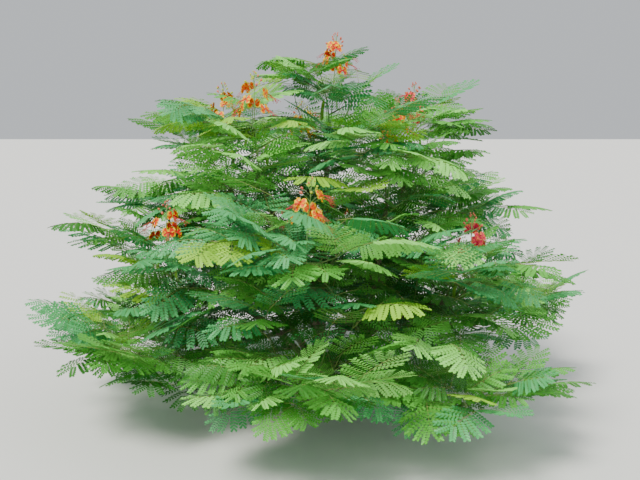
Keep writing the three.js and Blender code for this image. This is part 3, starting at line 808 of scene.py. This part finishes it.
def shape_collection(things):
    """A collection of things to set out, which a geometry tree hands out in the order of their names."""
    shapes = bpy.data.collections.new("shapes")
    bpy.context.scene.collection.children.link(shapes)
    for thing in things:
        bpy.context.scene.collection.objects.unlink(thing)
        shapes.objects.link(thing)
    return shapes


def discard(shapes):
    """Takes a collection and its things away again."""
    for thing in list(shapes.objects):
        bpy.data.objects.remove(thing)
    bpy.data.collections.remove(shapes)


def set_out(name, sites, shapes, material):
    """One piece from many sites, each a place, three axes, a size and the number of a shape."""
    carrier = plain_mesh("sites", [site["place"] for site in sites])
    turns = []
    for site in sites:
        turns.extend(Matrix([tuple(axis) for axis in site["axes"]]).transposed().to_euler())
    add_values(carrier, "turn", "FLOAT_VECTOR", turns)
    add_values(carrier, "size", "FLOAT", [site["size"] for site in sites])
    add_values(carrier, "shape", "INT", [site["shape"] for site in sites])
    return grown(name, set_tree, carrier, Shapes=shapes, Material=material)


inner_parts = []
edge_parts = []
for variant in range(FLOWER["shapes"]):
    roll = dice(PETAL_SEED + variant)
    tube, mouth = small_petal(PETAL_RADIUS)
    inner = [tube]
    edge = [mouth]
    for angle in PETAL_ANGLES:
        turn = angle + spread(roll, PETAL_SPREAD["turn"])
        radius = PETAL_RADIUS * drawn(roll, *PETAL_SPREAD["sizes"])
        red, yellow = petal(turn, radius, phase=PETAL_RUFFLE["phases"] * roll())
        inner.append(red)
        edge.append(yellow)
    inner_parts.append(plain_mesh(f"petals_{variant}", *merged(inner)))
    edge_parts.append(plain_mesh(f"edges_{variant}", *merged(edge)))
inner_shapes = shape_collection(inner_parts)
edge_shapes = shape_collection(edge_parts)

for tone, (inner_colour, edge_colour) in PETAL_COLOURS.items():
    sites = [site for site in sites_of["flower"] if site["tone"] == tone]
    inner_finish = plain_finish(f"petal_{tone}", inner_colour, roughness=0.5, specular=0.3)
    edge_finish = plain_finish(f"petal_edge_{tone}", edge_colour, roughness=0.5, specular=0.3)
    petals = set_out(f"petals_{tone}", sites, inner_shapes, inner_finish)
    edges = set_out(f"petal_edges_{tone}", sites, edge_shapes, edge_finish)
    for piece in (petals, edges):
        piece.data.shade_smooth()
        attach(piece, "root")
        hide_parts(*flower_nodes)
discard(inner_shapes)
discard(edge_shapes)

# Stamens: ten to a flower, about 6 cm long, thin and red. They leave the middle of the flower together and
# curve out and down.
STAMENS = {"count": 10, "base": 0.00065, "tip": 0.0004}
STAMEN_KNEE = {"spot": (1.0, 0.12, -0.45), "spread": 0.2}
STAMEN_END = {"spot": (1.25, 0.62, -1.35), "spread": (0.7, 0.3, 0.7)}
STAMEN_SEED = 71

stamen_parts = []
stamen_tips = []
for variant in range(FLOWER["shapes"]):
    roll = dice(STAMEN_SEED + variant)
    lines = []
    for k in range(STAMENS["count"]):
        fan = np.array([1, 2 * k / (STAMENS["count"] - 1) - 1, 1])
        knee = STAMEN_KNEE["spot"] * fan + UP * spread(roll, STAMEN_KNEE["spread"])
        end = STAMEN_END["spot"] * fan + [spread(roll, width) for width in STAMEN_END["spread"]]
        curve = [np.zeros(3), knee * PETAL_RADIUS, end * PETAL_RADIUS]
        lines.append(tapered_line(curve, STAMENS["base"], STAMENS["tip"], steps=4))
    stamen_tips.append([points[-1] for points, halves in lines])
    stamen_parts.append(grown(f"stamens_{variant}", rod_tree, line_carrier(lines), Sides=3))
stamen_shapes = shape_collection(stamen_parts)

stamen_red = plain_finish("stamen_red", (0.72, 0.055, 0.07), roughness=0.5, specular=0.3)
stamens = set_out("stamens", sites_of["flower"], stamen_shapes, stamen_red)
stamens.data.shade_smooth()
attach(stamens, "root")
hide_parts(*flower_nodes)
discard(stamen_shapes)

# Anthers: a small dark red knob of pollen at the tip of every stamen. Each is a stubby double pyramid, a few
# millimetres long.
ANTHER = {"half": 0.0018, "length": 0.0025}
ANTHER_FACES = [(0, 2, 4), (2, 1, 4), (1, 3, 4), (3, 0, 4), (2, 0, 5), (1, 2, 5), (3, 1, 5), (0, 3, 5)]

halves = (ANTHER["length"], ANTHER["half"], ANTHER["half"])
corners = [way * half * np.eye(3)[axis] for axis, half in enumerate(halves) for way in (1, -1)]
anther_parts = []
for variant, tips in enumerate(stamen_tips):
    knobs = [([tip + corner for corner in corners], ANTHER_FACES) for tip in tips]
    anther_parts.append(plain_mesh(f"anthers_{variant}", *merged(knobs)))
anther_shapes = shape_collection(anther_parts)

anther_red = plain_finish("anther_red", (0.5, 0.022, 0.035), roughness=0.6, specular=0.3)
anthers = set_out("anthers", sites_of["flower"], anther_shapes, anther_red)
anthers.data.shade_smooth()
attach(anthers, "root")
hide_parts(*flower_nodes)
discard(anther_shapes)

# Buds: pear-shaped, red on the red spikes and mostly yellow-green on the others. They stand round the top
# of each spike and are smaller towards its tip.
BUD_SIZE = 0.0062
BUD_PROFILE = [(-0.5, 0.22), (0.35, 0.5), (1.1, 0.95), (1.75, 0.85), (2.2, 0.4)]
BUD_ENDS = (-0.6, 2.35)
BUD_SIDES = 7
BUD_COLOURS = {"red_buds": (0.74, 0.17, 0.11), "green_buds": (0.5, 0.58, 0.04)}
WELD_DISTANCE = 1e-6

rings = []
for along, half in BUD_PROFILE:
    turns = [2 * math.pi * k / BUD_SIDES for k in range(BUD_SIDES)]
    rings.append([np.array([along, half * math.cos(t), half * math.sin(t)]) * BUD_SIZE for t in turns])
parts = [ring_band(lower, upper) for lower, upper in zip(rings, rings[1:])]
foot, top = [np.array([along, 0, 0]) * BUD_SIZE for along in BUD_ENDS]
parts.append(([foot, *rings[0]], [(0, 1 + (k + 1) % BUD_SIDES, 1 + k) for k in range(BUD_SIDES)]))
parts.append(([top, *rings[-1]], [(0, 1 + k, 1 + (k + 1) % BUD_SIDES) for k in range(BUD_SIDES)]))


def weld(thing):
    """Joins points that lie on each other, and turns all faces outwards."""
    shell = bmesh.new()
    shell.from_mesh(thing.data)
    bmesh.ops.remove_doubles(shell, verts=shell.verts, dist=WELD_DISTANCE)
    bmesh.ops.recalc_face_normals(shell, faces=shell.faces)
    shell.to_mesh(thing.data)
    shell.free()


bud = plain_mesh("bud", *merged(parts))
weld(bud)
bud_shapes = shape_collection([bud])
bud_groups = {"red_buds": [], "green_buds": []}
for k, site in enumerate(sites_of["bud"]):
    is_red = site["tone"] in ("scarlet", "rose") or k % 3 == 0
    bud_groups["red_buds" if is_red else "green_buds"].append(site)
for name, sites in bud_groups.items():
    finish = plain_finish(name, BUD_COLOURS[name], roughness=0.42, specular=0.4)
    buds = set_out(name, sites, bud_shapes, finish)
    buds.data.shade_smooth()
    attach(buds, "root")
    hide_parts(*flower_nodes)
discard(bud_shapes)

# Pods: flat green straps, 9 to 13 cm long, that hang from short stalks below the flowers. A row of seeds
# swells both sides, the two edges are thickened, and the tip ends in a short beak.
POD = {"length": 0.115, "half": 0.0098, "thick": 0.0017, "seeds": 7, "rows": 24, "columns": 6}
POD_ENDS = {"foot": 0.16, "foot_power": 0.6, "beak": 0.14, "beak_power": 0.75, "thinning": 6}
POD_WAVES = {"height": 0.06, "count": 9, "bow": 0.35}
POD_SEEDS = {"first": 0.1, "from": 0.12, "to": 0.9}
POD_SECTION = {"wall": 0.55, "seed": 0.75, "edge": 0.3, "edge_from": 0.5}


def pod_side(variant, way):
    """The points and faces of one broad side of a pod, whose other side lies the other way."""
    points = []
    for row in range(POD["rows"] + 1):
        t = row / POD["rows"]
        foot_width = (t / POD_ENDS["foot"]) ** POD_ENDS["foot_power"]
        beak_width = ((1 - t) / POD_ENDS["beak"]) ** POD_ENDS["beak_power"]
        wave = POD_WAVES["height"] * math.sin(POD_WAVES["count"] * t + variant)
        half = POD["half"] * min(1.0, foot_width, beak_width) * (1 + wave)
        bow = POD["half"] * POD_WAVES["bow"] * math.sin(math.pi * t) * (1 if variant else -1)
        seed = max(0.0, math.cos(2 * math.pi * POD["seeds"] * (t - POD_SEEDS["first"])))
        swell = POD_SECTION["seed"] * seed * (POD_SEEDS["from"] < t < POD_SEEDS["to"])
        thinned = min(1.0, POD_ENDS["thinning"] * t, POD_ENDS["thinning"] * (1 - t))
        for column in range(POD["columns"] + 1):
            v = 2 * column / POD["columns"] - 1
            edge = POD_SECTION["edge"] * (abs(v) > POD_SECTION["edge_from"])
            body = POD["thick"] * (POD_SECTION["wall"] + swell * (1 - v**2) ** 2 + edge)
            lift = 0 if abs(v) == 1 else body * thinned
            points.append((POD["length"] * t, v * half + bow, way * lift))
    faces = []
    for row in range(POD["rows"]):
        for column in range(POD["columns"]):
            a = row * (POD["columns"] + 1) + column
            b = a + POD["columns"] + 1
            faces.append((a, b, b + 1, a + 1))
    return points, faces


pod_parts = []
for variant in range(POD_PLACES["shapes"]):
    pod = plain_mesh(f"pod_{variant}", *merged([pod_side(variant, 1), pod_side(variant, -1)]))
    weld(pod)
    pod_parts.append(pod)
pod_shapes = shape_collection(pod_parts)
pod_green = plain_finish("pod_green", (0.17, 0.4, 0.026), roughness=0.4, specular=0.4)
pods = set_out("pods", sites_of["pod"], pod_shapes, pod_green)
pods.data.shade_smooth()
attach(pods, "root")
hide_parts(*flower_nodes)
discard(pod_shapes)

# Leaves: each is twice divided, with pairs of small oblong leaflets on pairs of side ribs. They fan out flat
# from the twigs and the side twigs, in sprays that mostly keep to one green. The shapes stand in the order
# of their names: first those of the outer leaves, then those in the shade.
LEAFLET = {"length": 0.0255, "half": 0.0068, "fold": 0.0016, "edge": [(0.2, 0.84), (0.8, 1)]}
SHADE_LEAFLET = [(0, 0.5), (0.96, 0.8)]
PINNA = {
    "length": 0.115, "pairs": 7, "first": 0.1, "last": 0.84,
    "yaw": (76, 36), "yaw_power": 2.5, "sizes": (0.74, 1.04), "tilt": 14,
}
RIB_ROW = {
    "first": 0.2, "last": 0.72, "swing": 0.09, "yaw": (78, 24), "yaw_power": 1.7,
    "tilt": 1.8, "widest": 0.42, "narrowing": -0.8,
}
LEAF_SHAPES = {
    "leaf_arched": {"pairs": 6, "length": 0.345, "arch": 42, "droop": 0.26, "seed": 2},
    "leaf_broad": {"pairs": 5, "length": 0.31, "arch": 30, "droop": 0.2, "seed": 3},
    "leaf_level": {"pairs": 6, "length": 0.34, "arch": 22, "droop": 0.16, "seed": 1},
    "leaf_long": {"pairs": 7, "length": 0.375, "arch": 50, "droop": 0.3, "seed": 4},
    "leaf_raised": {"pairs": 6, "length": 0.33, "arch": 12, "droop": -0.12, "seed": 5},
    "shade_arched": {"pairs": 6, "length": 0.35, "arch": 40, "droop": 0.25, "seed": 6},
    "shade_broad": {"pairs": 5, "length": 0.33, "arch": 24, "droop": 0.18, "seed": 7},
    "shade_level": {"pairs": 6, "length": 0.35, "arch": 14, "droop": 0.08, "seed": 8},
}
OUTER_SHAPES = 5
SPRAY_LEAVES = [(6, 0, 1.06), (5, 40, 1.02), (5, -40, 1.02), (3, 64, 0.94), (3, -64, 0.94)]
SPRAY_ROOM = 0.052
SPRAY_LEAF = {"pitch": (9, 12), "end_pitch": 8, "yaw": 18, "lean": 34, "sizes": (0.9, 0.24)}
TUFT = {"leaves": 2, "rise": 34, "size": 0.86, "wander": 60, "rises": 30, "lean": 30, "sizes": (0.85, 0.25)}
FILLING = [
    {"shares": (0.97, 0.87, 0.76), "climbs": (-0.35, 0.4, 1.1), "length": 0.3, "room": 0.118},
    {"shares": (0.9, 0.8, 0.68, 0.56, 0.44), "climbs": (0.0, 0.7), "length": 0.27, "room": 0.112},
]
SIDE_TWIG = {
    "base": 0.0042, "tip": 0.0018, "aside": (20, 60), "lengths": (0.7, 0.6), "climbs": 0.5, "gap": 0.14,
    "knee": {"out": 0.5, "up": 0.3, "least_climb": 0.1}, "tip_out": 0.75,
    "turns": (0, 75, -75, 140, -140), "floor": 0.17, "near": 0.28, "neighbours": 3, "look_back": 0.05,
}
SIDE_LEAF = {"wander": 40, "rise": (2, 42), "lean": 56, "sizes": (0.92, 0.22)}
REACH = {"length": 0.34, "shares": (0.35, 0.6, 0.8, 1.0), "sag": 0.2, "off_wood": 0.03}
MIDDLE = {"out": 0.2, "down": 0.015}
WOOD_STEPS = 40
CROWN = {"radius": 1.6, "floor": 0.1, "shoulder": 0.65, "top": 2.0, "least": 0.0001}
SHADE = {"radius": 1.32, "top": 1.75}
HEAD_ROOM = {"share": 0.86, "radius": 0.115}
TONES = {
    "blue_green": (0.07, 0.385, 0.118),
    "mid_green": (0.1, 0.41, 0.048),
    "deep_green": (0.038, 0.2, 0.02),
    # Partly painted highlight: this pale green also stands for leaves that the light catches.
    "fresh_green": (0.23, 0.66, 0.115),
    "yellow_green": (0.28, 0.58, 0.035),
}
# Each row deals out the greens above in their order. The upper tiers get more of the pale green, as painted
# highlight on the top of the crown, where the light from above falls.
TONE_SHARES = {
    "low": (0.3, 0.32, 0.09, 0.25, 0.04),
    "mid": (0.38, 0.26, 0.07, 0.24, 0.05),
    "upper": (0.25, 0.26, 0.04, 0.33, 0.12),
    "top": (0.2, 0.24, 0.04, 0.36, 0.16),
    # Painted shade: the leaves inside the crown get mostly the darker greens.
    "shade": (0.25, 0.35, 0.34, 0.06, 0.0),
}
TONE_WANDER = 0.3
LEAVES_PER_PIECE = 210
LEAF_SEED = 41


def value_of(tree, operation, *values):
    """A number worked out in a geometry tree."""
    return add_node(tree, "ShaderNodeMath", dict(enumerate(values)), operation=operation).outputs[0]


def vector_of(tree, x=0.0, y=0.0, z=0.0):
    """A vector worked out in a geometry tree from three numbers."""
    return add_node(tree, "ShaderNodeCombineXYZ", {"X": x, "Y": y, "Z": z}).outputs[0]


def row_of_points(tree, given, first, last):
    """A point for each pair, between two shares of the length along X, and each point's share of the row."""
    start, end = [value_of(tree, "MULTIPLY", given["Length"], share) for share in (first, last)]
    gaps = value_of(tree, "SUBTRACT", given["Pairs"], 1.0)
    gap = value_of(tree, "DIVIDE", value_of(tree, "SUBTRACT", end, start), gaps)
    row = {"Count": given["Pairs"], "Start Location": vector_of(tree, start), "Offset": vector_of(tree, gap)}
    row = add_node(tree, "GeometryNodeMeshLine", row, mode="OFFSET").outputs[0]
    return row, value_of(tree, "DIVIDE", add_node(tree, "GeometryNodeInputIndex").outputs[0], gaps)


def eased(tree, share, start, end, power=1.0):
    """A number that goes from start to end along a share raised to a power."""
    return value_of(tree, "MULTIPLY_ADD", value_of(tree, "POWER", share, power), end - start, start)


def with_pairs(tree, given, label, points, yaw, tilt, scale):
    """The given geometry, with a given thing set on both sides of every point and turned away by a yaw."""
    info = {"Object": given[label], "As Instance": True}
    thing = add_node(tree, "GeometryNodeObjectInfo", info).outputs["Geometry"]
    whole = tree.nodes.new("GeometryNodeJoinGeometry")
    tree.links.new(given["Geometry"], whole.inputs[0])
    for way in (1.0, -1.0):
        tilted, yawed = [value_of(tree, "MULTIPLY", angle, way) for angle in (tilt, yaw)]
        turn = vector_of(tree, tilted, 0.0, yawed)
        inputs = {"Points": points, "Instance": thing, "Rotation": turn, "Scale": scale}
        side = add_node(tree, "GeometryNodeInstanceOnPoints", inputs)
        tree.links.new(side.outputs[0], whole.inputs[0])
    return add_node(tree, "GeometryNodeRealizeInstances", {"Geometry": whole.outputs[0]}).outputs[0]


def bent_down(tree, given, flat):
    """A flat leaf bent by its arch along its length, with the sides drooping from its middle line."""
    spot = {"Vector": add_node(tree, "GeometryNodeInputPosition").outputs[0]}
    x, y, z = add_node(tree, "ShaderNodeSeparateXYZ", spot).outputs
    bend = value_of(tree, "DIVIDE", value_of(tree, "MULTIPLY", given["Arch"], x), given["Length"])
    reach = value_of(tree, "DIVIDE", given["Length"], given["Arch"])
    sag = value_of(tree, "MULTIPLY", value_of(tree, "ABSOLUTE", y), given["Droop"])
    off = value_of(tree, "SUBTRACT", z, sag)
    cosine = value_of(tree, "COSINE", bend)
    new_x = value_of(tree, "MULTIPLY", value_of(tree, "ADD", reach, off), value_of(tree, "SINE", bend))
    fall = value_of(tree, "MULTIPLY", reach, value_of(tree, "SUBTRACT", cosine, 1.0))
    new_z = value_of(tree, "MULTIPLY_ADD", off, cosine, fall)
    bent = {"Geometry": flat, "Position": vector_of(tree, new_x, y, new_z)}
    return add_node(tree, "GeometryNodeSetPosition", bent).outputs[0]


sizes = {"Leaflet": "Object", "Pairs": "Int", "Length": "Float", "Leaflet Length": "Float"}
pinna_tree, given, result = new_tree("leaflets of a side rib", sizes)
row, share = row_of_points(pinna_tree, given, PINNA["first"], PINNA["last"])
yaw = eased(pinna_tree, share, *map(math.radians, PINNA["yaw"]), PINNA["yaw_power"])
size = value_of(pinna_tree, "MULTIPLY", eased(pinna_tree, share, *PINNA["sizes"]), given["Leaflet Length"])
leaflets = with_pairs(pinna_tree, given, "Leaflet", row, yaw, math.radians(PINNA["tilt"]), size)
pinna_tree.links.new(leaflets, result)

sizes = {"Pinna": "Object", "Pairs": "Int", "Length": "Float", "Arch": "Float", "Droop": "Float"}
leaf_tree, given, result = new_tree("side ribs of a leaf", {**sizes, "Seed": "Int"})
row, share = row_of_points(leaf_tree, given, RIB_ROW["first"], RIB_ROW["last"])
swing = {2: -RIB_ROW["swing"], 3: RIB_ROW["swing"], "Seed": given["Seed"]}
swing = add_node(leaf_tree, "FunctionNodeRandomValue", swing).outputs[1]
yaw = eased(leaf_tree, share, *map(math.radians, RIB_ROW["yaw"]), RIB_ROW["yaw_power"])
yaw = value_of(leaf_tree, "ADD", yaw, swing)
tilt = value_of(leaf_tree, "MULTIPLY", swing, RIB_ROW["tilt"])
from_widest = value_of(leaf_tree, "SUBTRACT", share, RIB_ROW["widest"])
size = value_of(leaf_tree, "POWER", from_widest, 2.0)
size = value_of(leaf_tree, "MULTIPLY_ADD", size, RIB_ROW["narrowing"], 1.0)
flat = with_pairs(leaf_tree, given, "Pinna", row, yaw, tilt, size)
leaf_tree.links.new(bent_down(leaf_tree, given, flat), result)

wide = LEAFLET["half"] / LEAFLET["length"]
lift = LEAFLET["fold"] / LEAFLET["length"]
edge = [(along, wide * half, lift) for along, half in LEAFLET["edge"]]
outline = [(0, 0, 0), *edge, (1, 0, 0), *[(x, -y, z) for x, y, z in reversed(edge)]]
leaflet = plain_mesh("leaflet", outline, [(0, 3, 2, 1), (0, 5, 4, 3)])
edge = [(along, wide * half, 0) for along, half in SHADE_LEAFLET]
outline = [*[(x, -y, z) for x, y, z in edge], *reversed(edge)]
shade_leaflet = plain_mesh("shade_leaflet", outline, [(0, 1, 2, 3)])
sizes = {"Pairs": PINNA["pairs"], "Length": PINNA["length"], "Leaflet Length": LEAFLET["length"]}
pinna = grown("pinna", pinna_tree, plain_mesh("bare"), Leaflet=leaflet, **sizes)
shade_pinna = grown("shade_pinna", pinna_tree, plain_mesh("bare"), Leaflet=shade_leaflet, **sizes)


def leaf_sizes(shape):
    """What the tree of a leaf is given for one of the leaf shapes."""
    sizes = {"Pairs": shape["pairs"], "Length": shape["length"], "Arch": math.radians(shape["arch"])}
    return {**sizes, "Droop": shape["droop"], "Seed": shape["seed"]}


leaf_parts = []
for name, shape in LEAF_SHAPES.items():
    side_rib = shade_pinna if name.startswith("shade") else pinna
    leaf_parts.append(grown(name, leaf_tree, plain_mesh("bare"), Pinna=side_rib, **leaf_sizes(shape)))
for thing in (leaflet, shade_leaflet, pinna, shade_pinna):
    bpy.data.objects.remove(thing)
leaf_shapes = shape_collection(leaf_parts)

wood_points = []
for kind, curve in limbs.values():
    wood_points.extend(point_on(curve, k / WOOD_STEPS) for k in range(WOOD_STEPS + 1))
wood = kdtree.KDTree(len(wood_points))
for index, point in enumerate(wood_points):
    wood.insert(point, index)
wood.balance()
heads = [point_on(spike_curve(mass), HEAD_ROOM["share"]) for mass in spiked_masses]


def crown_share(spot):
    """How far out a spot lies, from 0 on the shrub's middle line to 1 at the crown's reach."""
    climb = max(0.0, spot[2] - CROWN["shoulder"]) / (CROWN["top"] - CROWN["shoulder"])
    widest = CROWN["radius"] * math.sqrt(max(CROWN["least"], 1 - climb**2))
    return math.hypot(spot[0], spot[1]) / widest


def is_clear(leaf, floor):
    """Whether a leaf stays in the crown, off the limbs and out of the flowers."""
    length = REACH["length"] * leaf["size"]
    spots = []
    for share in REACH["shares"]:
        sag = UP * length * REACH["sag"] * share**2
        spots.append(leaf["place"] + leaf["axes"][0] * length * share - sag)
    if spots[-1][2] < floor or crown_share(spots[-1]) > 1:
        return False
    if any(np.linalg.norm(head - spot) < HEAD_ROOM["radius"] for head in heads for spot in spots):
        return False
    return all(wood.find(spot)[2] > REACH["off_wood"] for spot in spots)


leaf_sites = {tone: [] for tone in TONES}
leaf_middles = []
roll = dice(LEAF_SEED)


def has_room(middle, room, neighbours):
    """Whether the middle of a leaf has room of its own, and enough leaves near it."""
    if not leaf_middles:
        return True
    apart = np.linalg.norm(np.array(leaf_middles) - middle, axis=1)
    return np.min(apart) >= room and np.sum(apart < SIDE_TWIG["near"]) >= neighbours


def deal_out(leaf, middle):
    """Gives a leaf its green and its shape. In the shade of the crown the shapes are plainer, and the greens
    darker as painted shade.
    """
    depth = max(0.0, 1 - middle[2] / SHADE["top"])
    shaded = math.hypot(middle[0], middle[1]) < SHADE["radius"] * math.sqrt(depth)
    shares = np.cumsum(TONE_SHARES["shade" if shaded else leaf["mass"]["tier"]])
    pick = (leaf["pick"] + spread(roll, TONE_WANDER)) % 1
    tone = next((tone for tone, share in zip(TONES, shares) if pick < share), "mid_green")
    first, count = (OUTER_SHAPES, len(LEAF_SHAPES) - OUTER_SHAPES) if shaded else (0, OUTER_SHAPES)
    leaf_sites[tone].append({**leaf, "shape": first + int(roll() * count)})


def take_leaf(leaf, room, floor=CROWN["floor"], neighbours=0):
    """Keeps a leaf that is clear and has the room and the neighbours it needs, and says whether it did."""
    out = leaf["axes"][0] * MIDDLE["out"] * leaf["size"]
    middle = leaf["place"] + out - UP * MIDDLE["down"] * leaf["size"]
    if not is_clear(leaf, floor) or not has_room(middle, room, neighbours):
        return False
    leaf_middles.append(middle)
    deal_out(leaf, middle)
    return True


def turned(axes, yaw, pitch, lean):
    """Three axes after a yaw about the face, a rise out of the plane and a lean about the way ahead."""
    turn = Matrix([tuple(axis) for axis in axes]).transposed()
    own = Euler((math.radians(lean), -math.radians(pitch), 0)).to_matrix()
    yawed = Euler((0, 0, math.radians(yaw))).to_matrix()
    return [np.array(axis) for axis in (turn @ yawed @ own).transposed()]


def flat_axes(bearing, rise, lean):
    """The axes of a leaf that points along a bearing, lies nearly level and leans to one side."""
    axes = [heading(bearing, rise), heading(bearing + 90), heading(bearing, rise + 90)]
    return turned(axes, 0, 0, lean)


def spray_leaves(mass):
    """The leaves along the sprays of a mass."""
    leaves = []
    for spray in mass["sprays"]:
        pick = roll()
        for station, yaw, size in SPRAY_LEAVES:
            place, *axes = spray["stations"][station]
            pitch = drawn(roll, *SPRAY_LEAF["pitch"]) + SPRAY_LEAF["end_pitch"] * (yaw == 0)
            yaw = yaw + spread(roll, SPRAY_LEAF["yaw"])
            axes = turned(axes, yaw, pitch, spread(roll, SPRAY_LEAF["lean"]))
            size = size * spray["size"] * drawn(roll, *SPRAY_LEAF["sizes"])
            leaves.append({"place": place, "axes": axes, "size": size, "mass": mass, "pick": pick})
    return leaves


def tuft_leaves(mass):
    """The raised leaves at the ends of the stem and the twigs of a mass."""
    leaves = []
    for shoot in mass["shoots"]:
        for k in range(TUFT["leaves"]):
            bearing = shoot["bearing"] + SPRAYS["turn"] * k + spread(roll, TUFT["wander"])
            rise = TUFT["rise"] + spread(roll, TUFT["rises"])
            axes = flat_axes(bearing, rise, spread(roll, TUFT["lean"]))
            size = TUFT["size"] * drawn(roll, *TUFT["sizes"])
            place = shoot["curve"][-1]
            leaves.append({"place": place, "axes": axes, "size": size, "mass": mass, "pick": roll()})
    return leaves


def side_twig_curve(foot, bearing, climb, reach):
    """The control points of a side twig that leaves a limb at a foot and climbs by a share of its length."""
    length = reach * drawn(roll, *SIDE_TWIG["lengths"])
    bend = SIDE_TWIG["knee"]
    knee_climb = max(bend["least_climb"], climb) * bend["up"]
    tip_climb = climb + spread(roll, SIDE_TWIG["climbs"])
    knee = foot + (heading(bearing) * bend["out"] + UP * knee_climb) * length
    tip = foot + (heading(bearing) * SIDE_TWIG["tip_out"] + UP * tip_climb) * length
    return [foot, knee, tip]


def take_side_leaves(twig, bearing, mass, room):
    """Tries leaves along a side twig from its tip down, and tells where on it those that it keeps stand."""
    pick = roll()
    seats = []
    for k, turn in enumerate(SIDE_TWIG["turns"]):
        seat = 1 - SIDE_TWIG["gap"] * k
        leaf_bearing = bearing + turn + spread(roll, SIDE_LEAF["wander"])
        rise = drawn(roll, *SIDE_LEAF["rise"])
        axes = flat_axes(leaf_bearing, rise, spread(roll, SIDE_LEAF["lean"]))
        size = drawn(roll, *SIDE_LEAF["sizes"])
        leaf = {"place": point_on(twig, seat), "axes": axes, "size": size, "mass": mass, "pick": pick}
        if take_leaf(leaf, room, SIDE_TWIG["floor"], SIDE_TWIG["neighbours"]):
            seats.append(seat)
    return seats


for mass in masses:
    for leaf in spray_leaves(mass) + tuft_leaves(mass):
        take_leaf(leaf, SPRAY_ROOM)

side_twig_lines = []
plan = [(rule, share, climb) for rule in FILLING for share in rule["shares"] for climb in rule["climbs"]]
for rule, share, climb in plan:
    for kind, curve in limbs.values():
        if kind == "low_bough" and climb < 0:
            continue
        foot = point_on(curve, share)
        along = unit(foot - point_on(curve, share - SIDE_TWIG["look_back"]))
        mass = min(masses, key=lambda mass: np.linalg.norm(mass["heart"] - curve[3]))
        for way in (1, -1):
            outward = 360 * roll() if kind == "leader" else bearing_of(along)
            bearing = outward + way * drawn(roll, *SIDE_TWIG["aside"])
            twig = side_twig_curve(foot, bearing, climb, rule["length"])
            seats = take_side_leaves(twig, bearing, mass, rule["room"])
            if seats:
                knee = foot + (twig[1] - foot) * seats[0]
                cut = [foot, knee, point_on(twig, seats[0])]
                side_twig_lines.append(tapered_line(cut, SIDE_TWIG["base"], SIDE_TWIG["tip"], steps=4))

for tone, colour in TONES.items():
    finish = plain_finish(tone, colour, roughness=0.46, specular=0.35)
    pieces = math.ceil(len(leaf_sites[tone]) / LEAVES_PER_PIECE)
    for number in range(pieces):
        sites = leaf_sites[tone][number::pieces]
        leaves = set_out(f"leaves_{tone}_{number + 1}", sites, leaf_shapes, finish)
        leaves.data.shade_flat()
        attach(leaves, "root")
        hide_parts(*sorted({f"foliage_{site['mass']['name']}" for site in sites}))
discard(leaf_shapes)

# Leaf ribs: the thin pale yellow-green stalk of every leaf, with its side ribs in pairs. It grows from the
# twig and runs on to the last pair. In the shade only the stalk is there to be seen.
RIB = {"base": 0.0018, "tip": 0.0008, "side": 0.0007, "side_tip": 0.00035, "reach": 0.74}

side_line = tapered_line([(0, 0, 0), (PINNA["length"], 0, 0)], RIB["side"], RIB["side_tip"], steps=1)
side_rib = grown("side_rib", rod_tree, line_carrier([side_line]), Sides=3)
no_rib = plain_mesh("no_rib")
rib_parts = []
for name, shape in LEAF_SHAPES.items():
    ends = [(0, 0, 0), (shape["length"] * RIB["reach"], 0, 0)]
    line = tapered_line(ends, RIB["base"], RIB["tip"], steps=5)
    middle_rib = grown("middle_rib", rod_tree, line_carrier([line]), Sides=3)
    pinna_rib = no_rib if name.startswith("shade") else side_rib
    rib_parts.append(grown(f"{name}_ribs", leaf_tree, middle_rib, Pinna=pinna_rib, **leaf_sizes(shape)))
bpy.data.objects.remove(side_rib)
bpy.data.objects.remove(no_rib)
rib_shapes = shape_collection(rib_parts)

rib_green = plain_finish("leaf_rib", (0.3, 0.37, 0.1), roughness=0.5, specular=0.35)
all_sites = [site for tone in TONES for site in leaf_sites[tone]]
for number in range(2):
    ribs = set_out(f"leaf_ribs_{number + 1}", all_sites[number::2], rib_shapes, rib_green)
    ribs.data.shade_smooth()
    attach(ribs, "root")
    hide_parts(*foliage_nodes)
discard(rib_shapes)

# Side twigs: thin green twigs that leave the boughs on both sides and bear the leaves inside the crown and
# between its tiers.
side_twigs = grown("side_twigs", rod_tree, line_carrier(side_twig_lines), Sides=5, Material=twig_bark)
side_twigs.data.shade_smooth()
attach(side_twigs, "root")
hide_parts(*foliage_nodes)

# Floor: plain, pale and matt. It lies at ground level under the shrub and reaches far past the camera's
# view on all sides.
FLOOR_REACH = 40

corners = [(x * FLOOR_REACH, y * FLOOR_REACH, 0) for x, y in ((-1, -1), (1, -1), (1, 1), (-1, 1))]
floor = plain_mesh("floor", corners, [(0, 1, 2, 3)])
floor.data.materials.append(plain_finish("floor", (0.78, 0.78, 0.76), roughness=0.9, specular=0.2))

# Light: a broad soft key light from above the front left, a weaker one from the right, and an even pale
# surround.
LAMPS = {
    "key": {"from": (-0.42, -0.62, 1.0), "strength": 4.4, "softness": 20, "colour": (1, 0.97, 0.9)},
    "fill": {"from": (0.9, -0.3, 0.55), "strength": 0.7, "softness": 60, "colour": (0.94, 0.97, 1)},
}
LAMP_DISTANCE = 5
SURROUND = {"colour": (0.88, 0.92, 0.96), "strength": 0.7}

for name, lamp in LAMPS.items():
    light = bpy.data.lights.new(name, "SUN")
    light.energy = lamp["strength"]
    light.angle = math.radians(lamp["softness"])
    light.color = lamp["colour"]
    holder = bpy.data.objects.new(name, light)
    holder.location = Vector(lamp["from"]) * LAMP_DISTANCE
    holder.rotation_euler = (-Vector(lamp["from"])).to_track_quat("-Z", "Y").to_euler()
    bpy.context.scene.collection.objects.link(holder)

world = bpy.data.worlds.new("surround")
world.use_nodes = True
surround = world.node_tree.nodes["Background"].inputs
surround["Color"].default_value = (*SURROUND["colour"], 1)
surround["Strength"].default_value = SURROUND["strength"]
bpy.context.scene.world = world
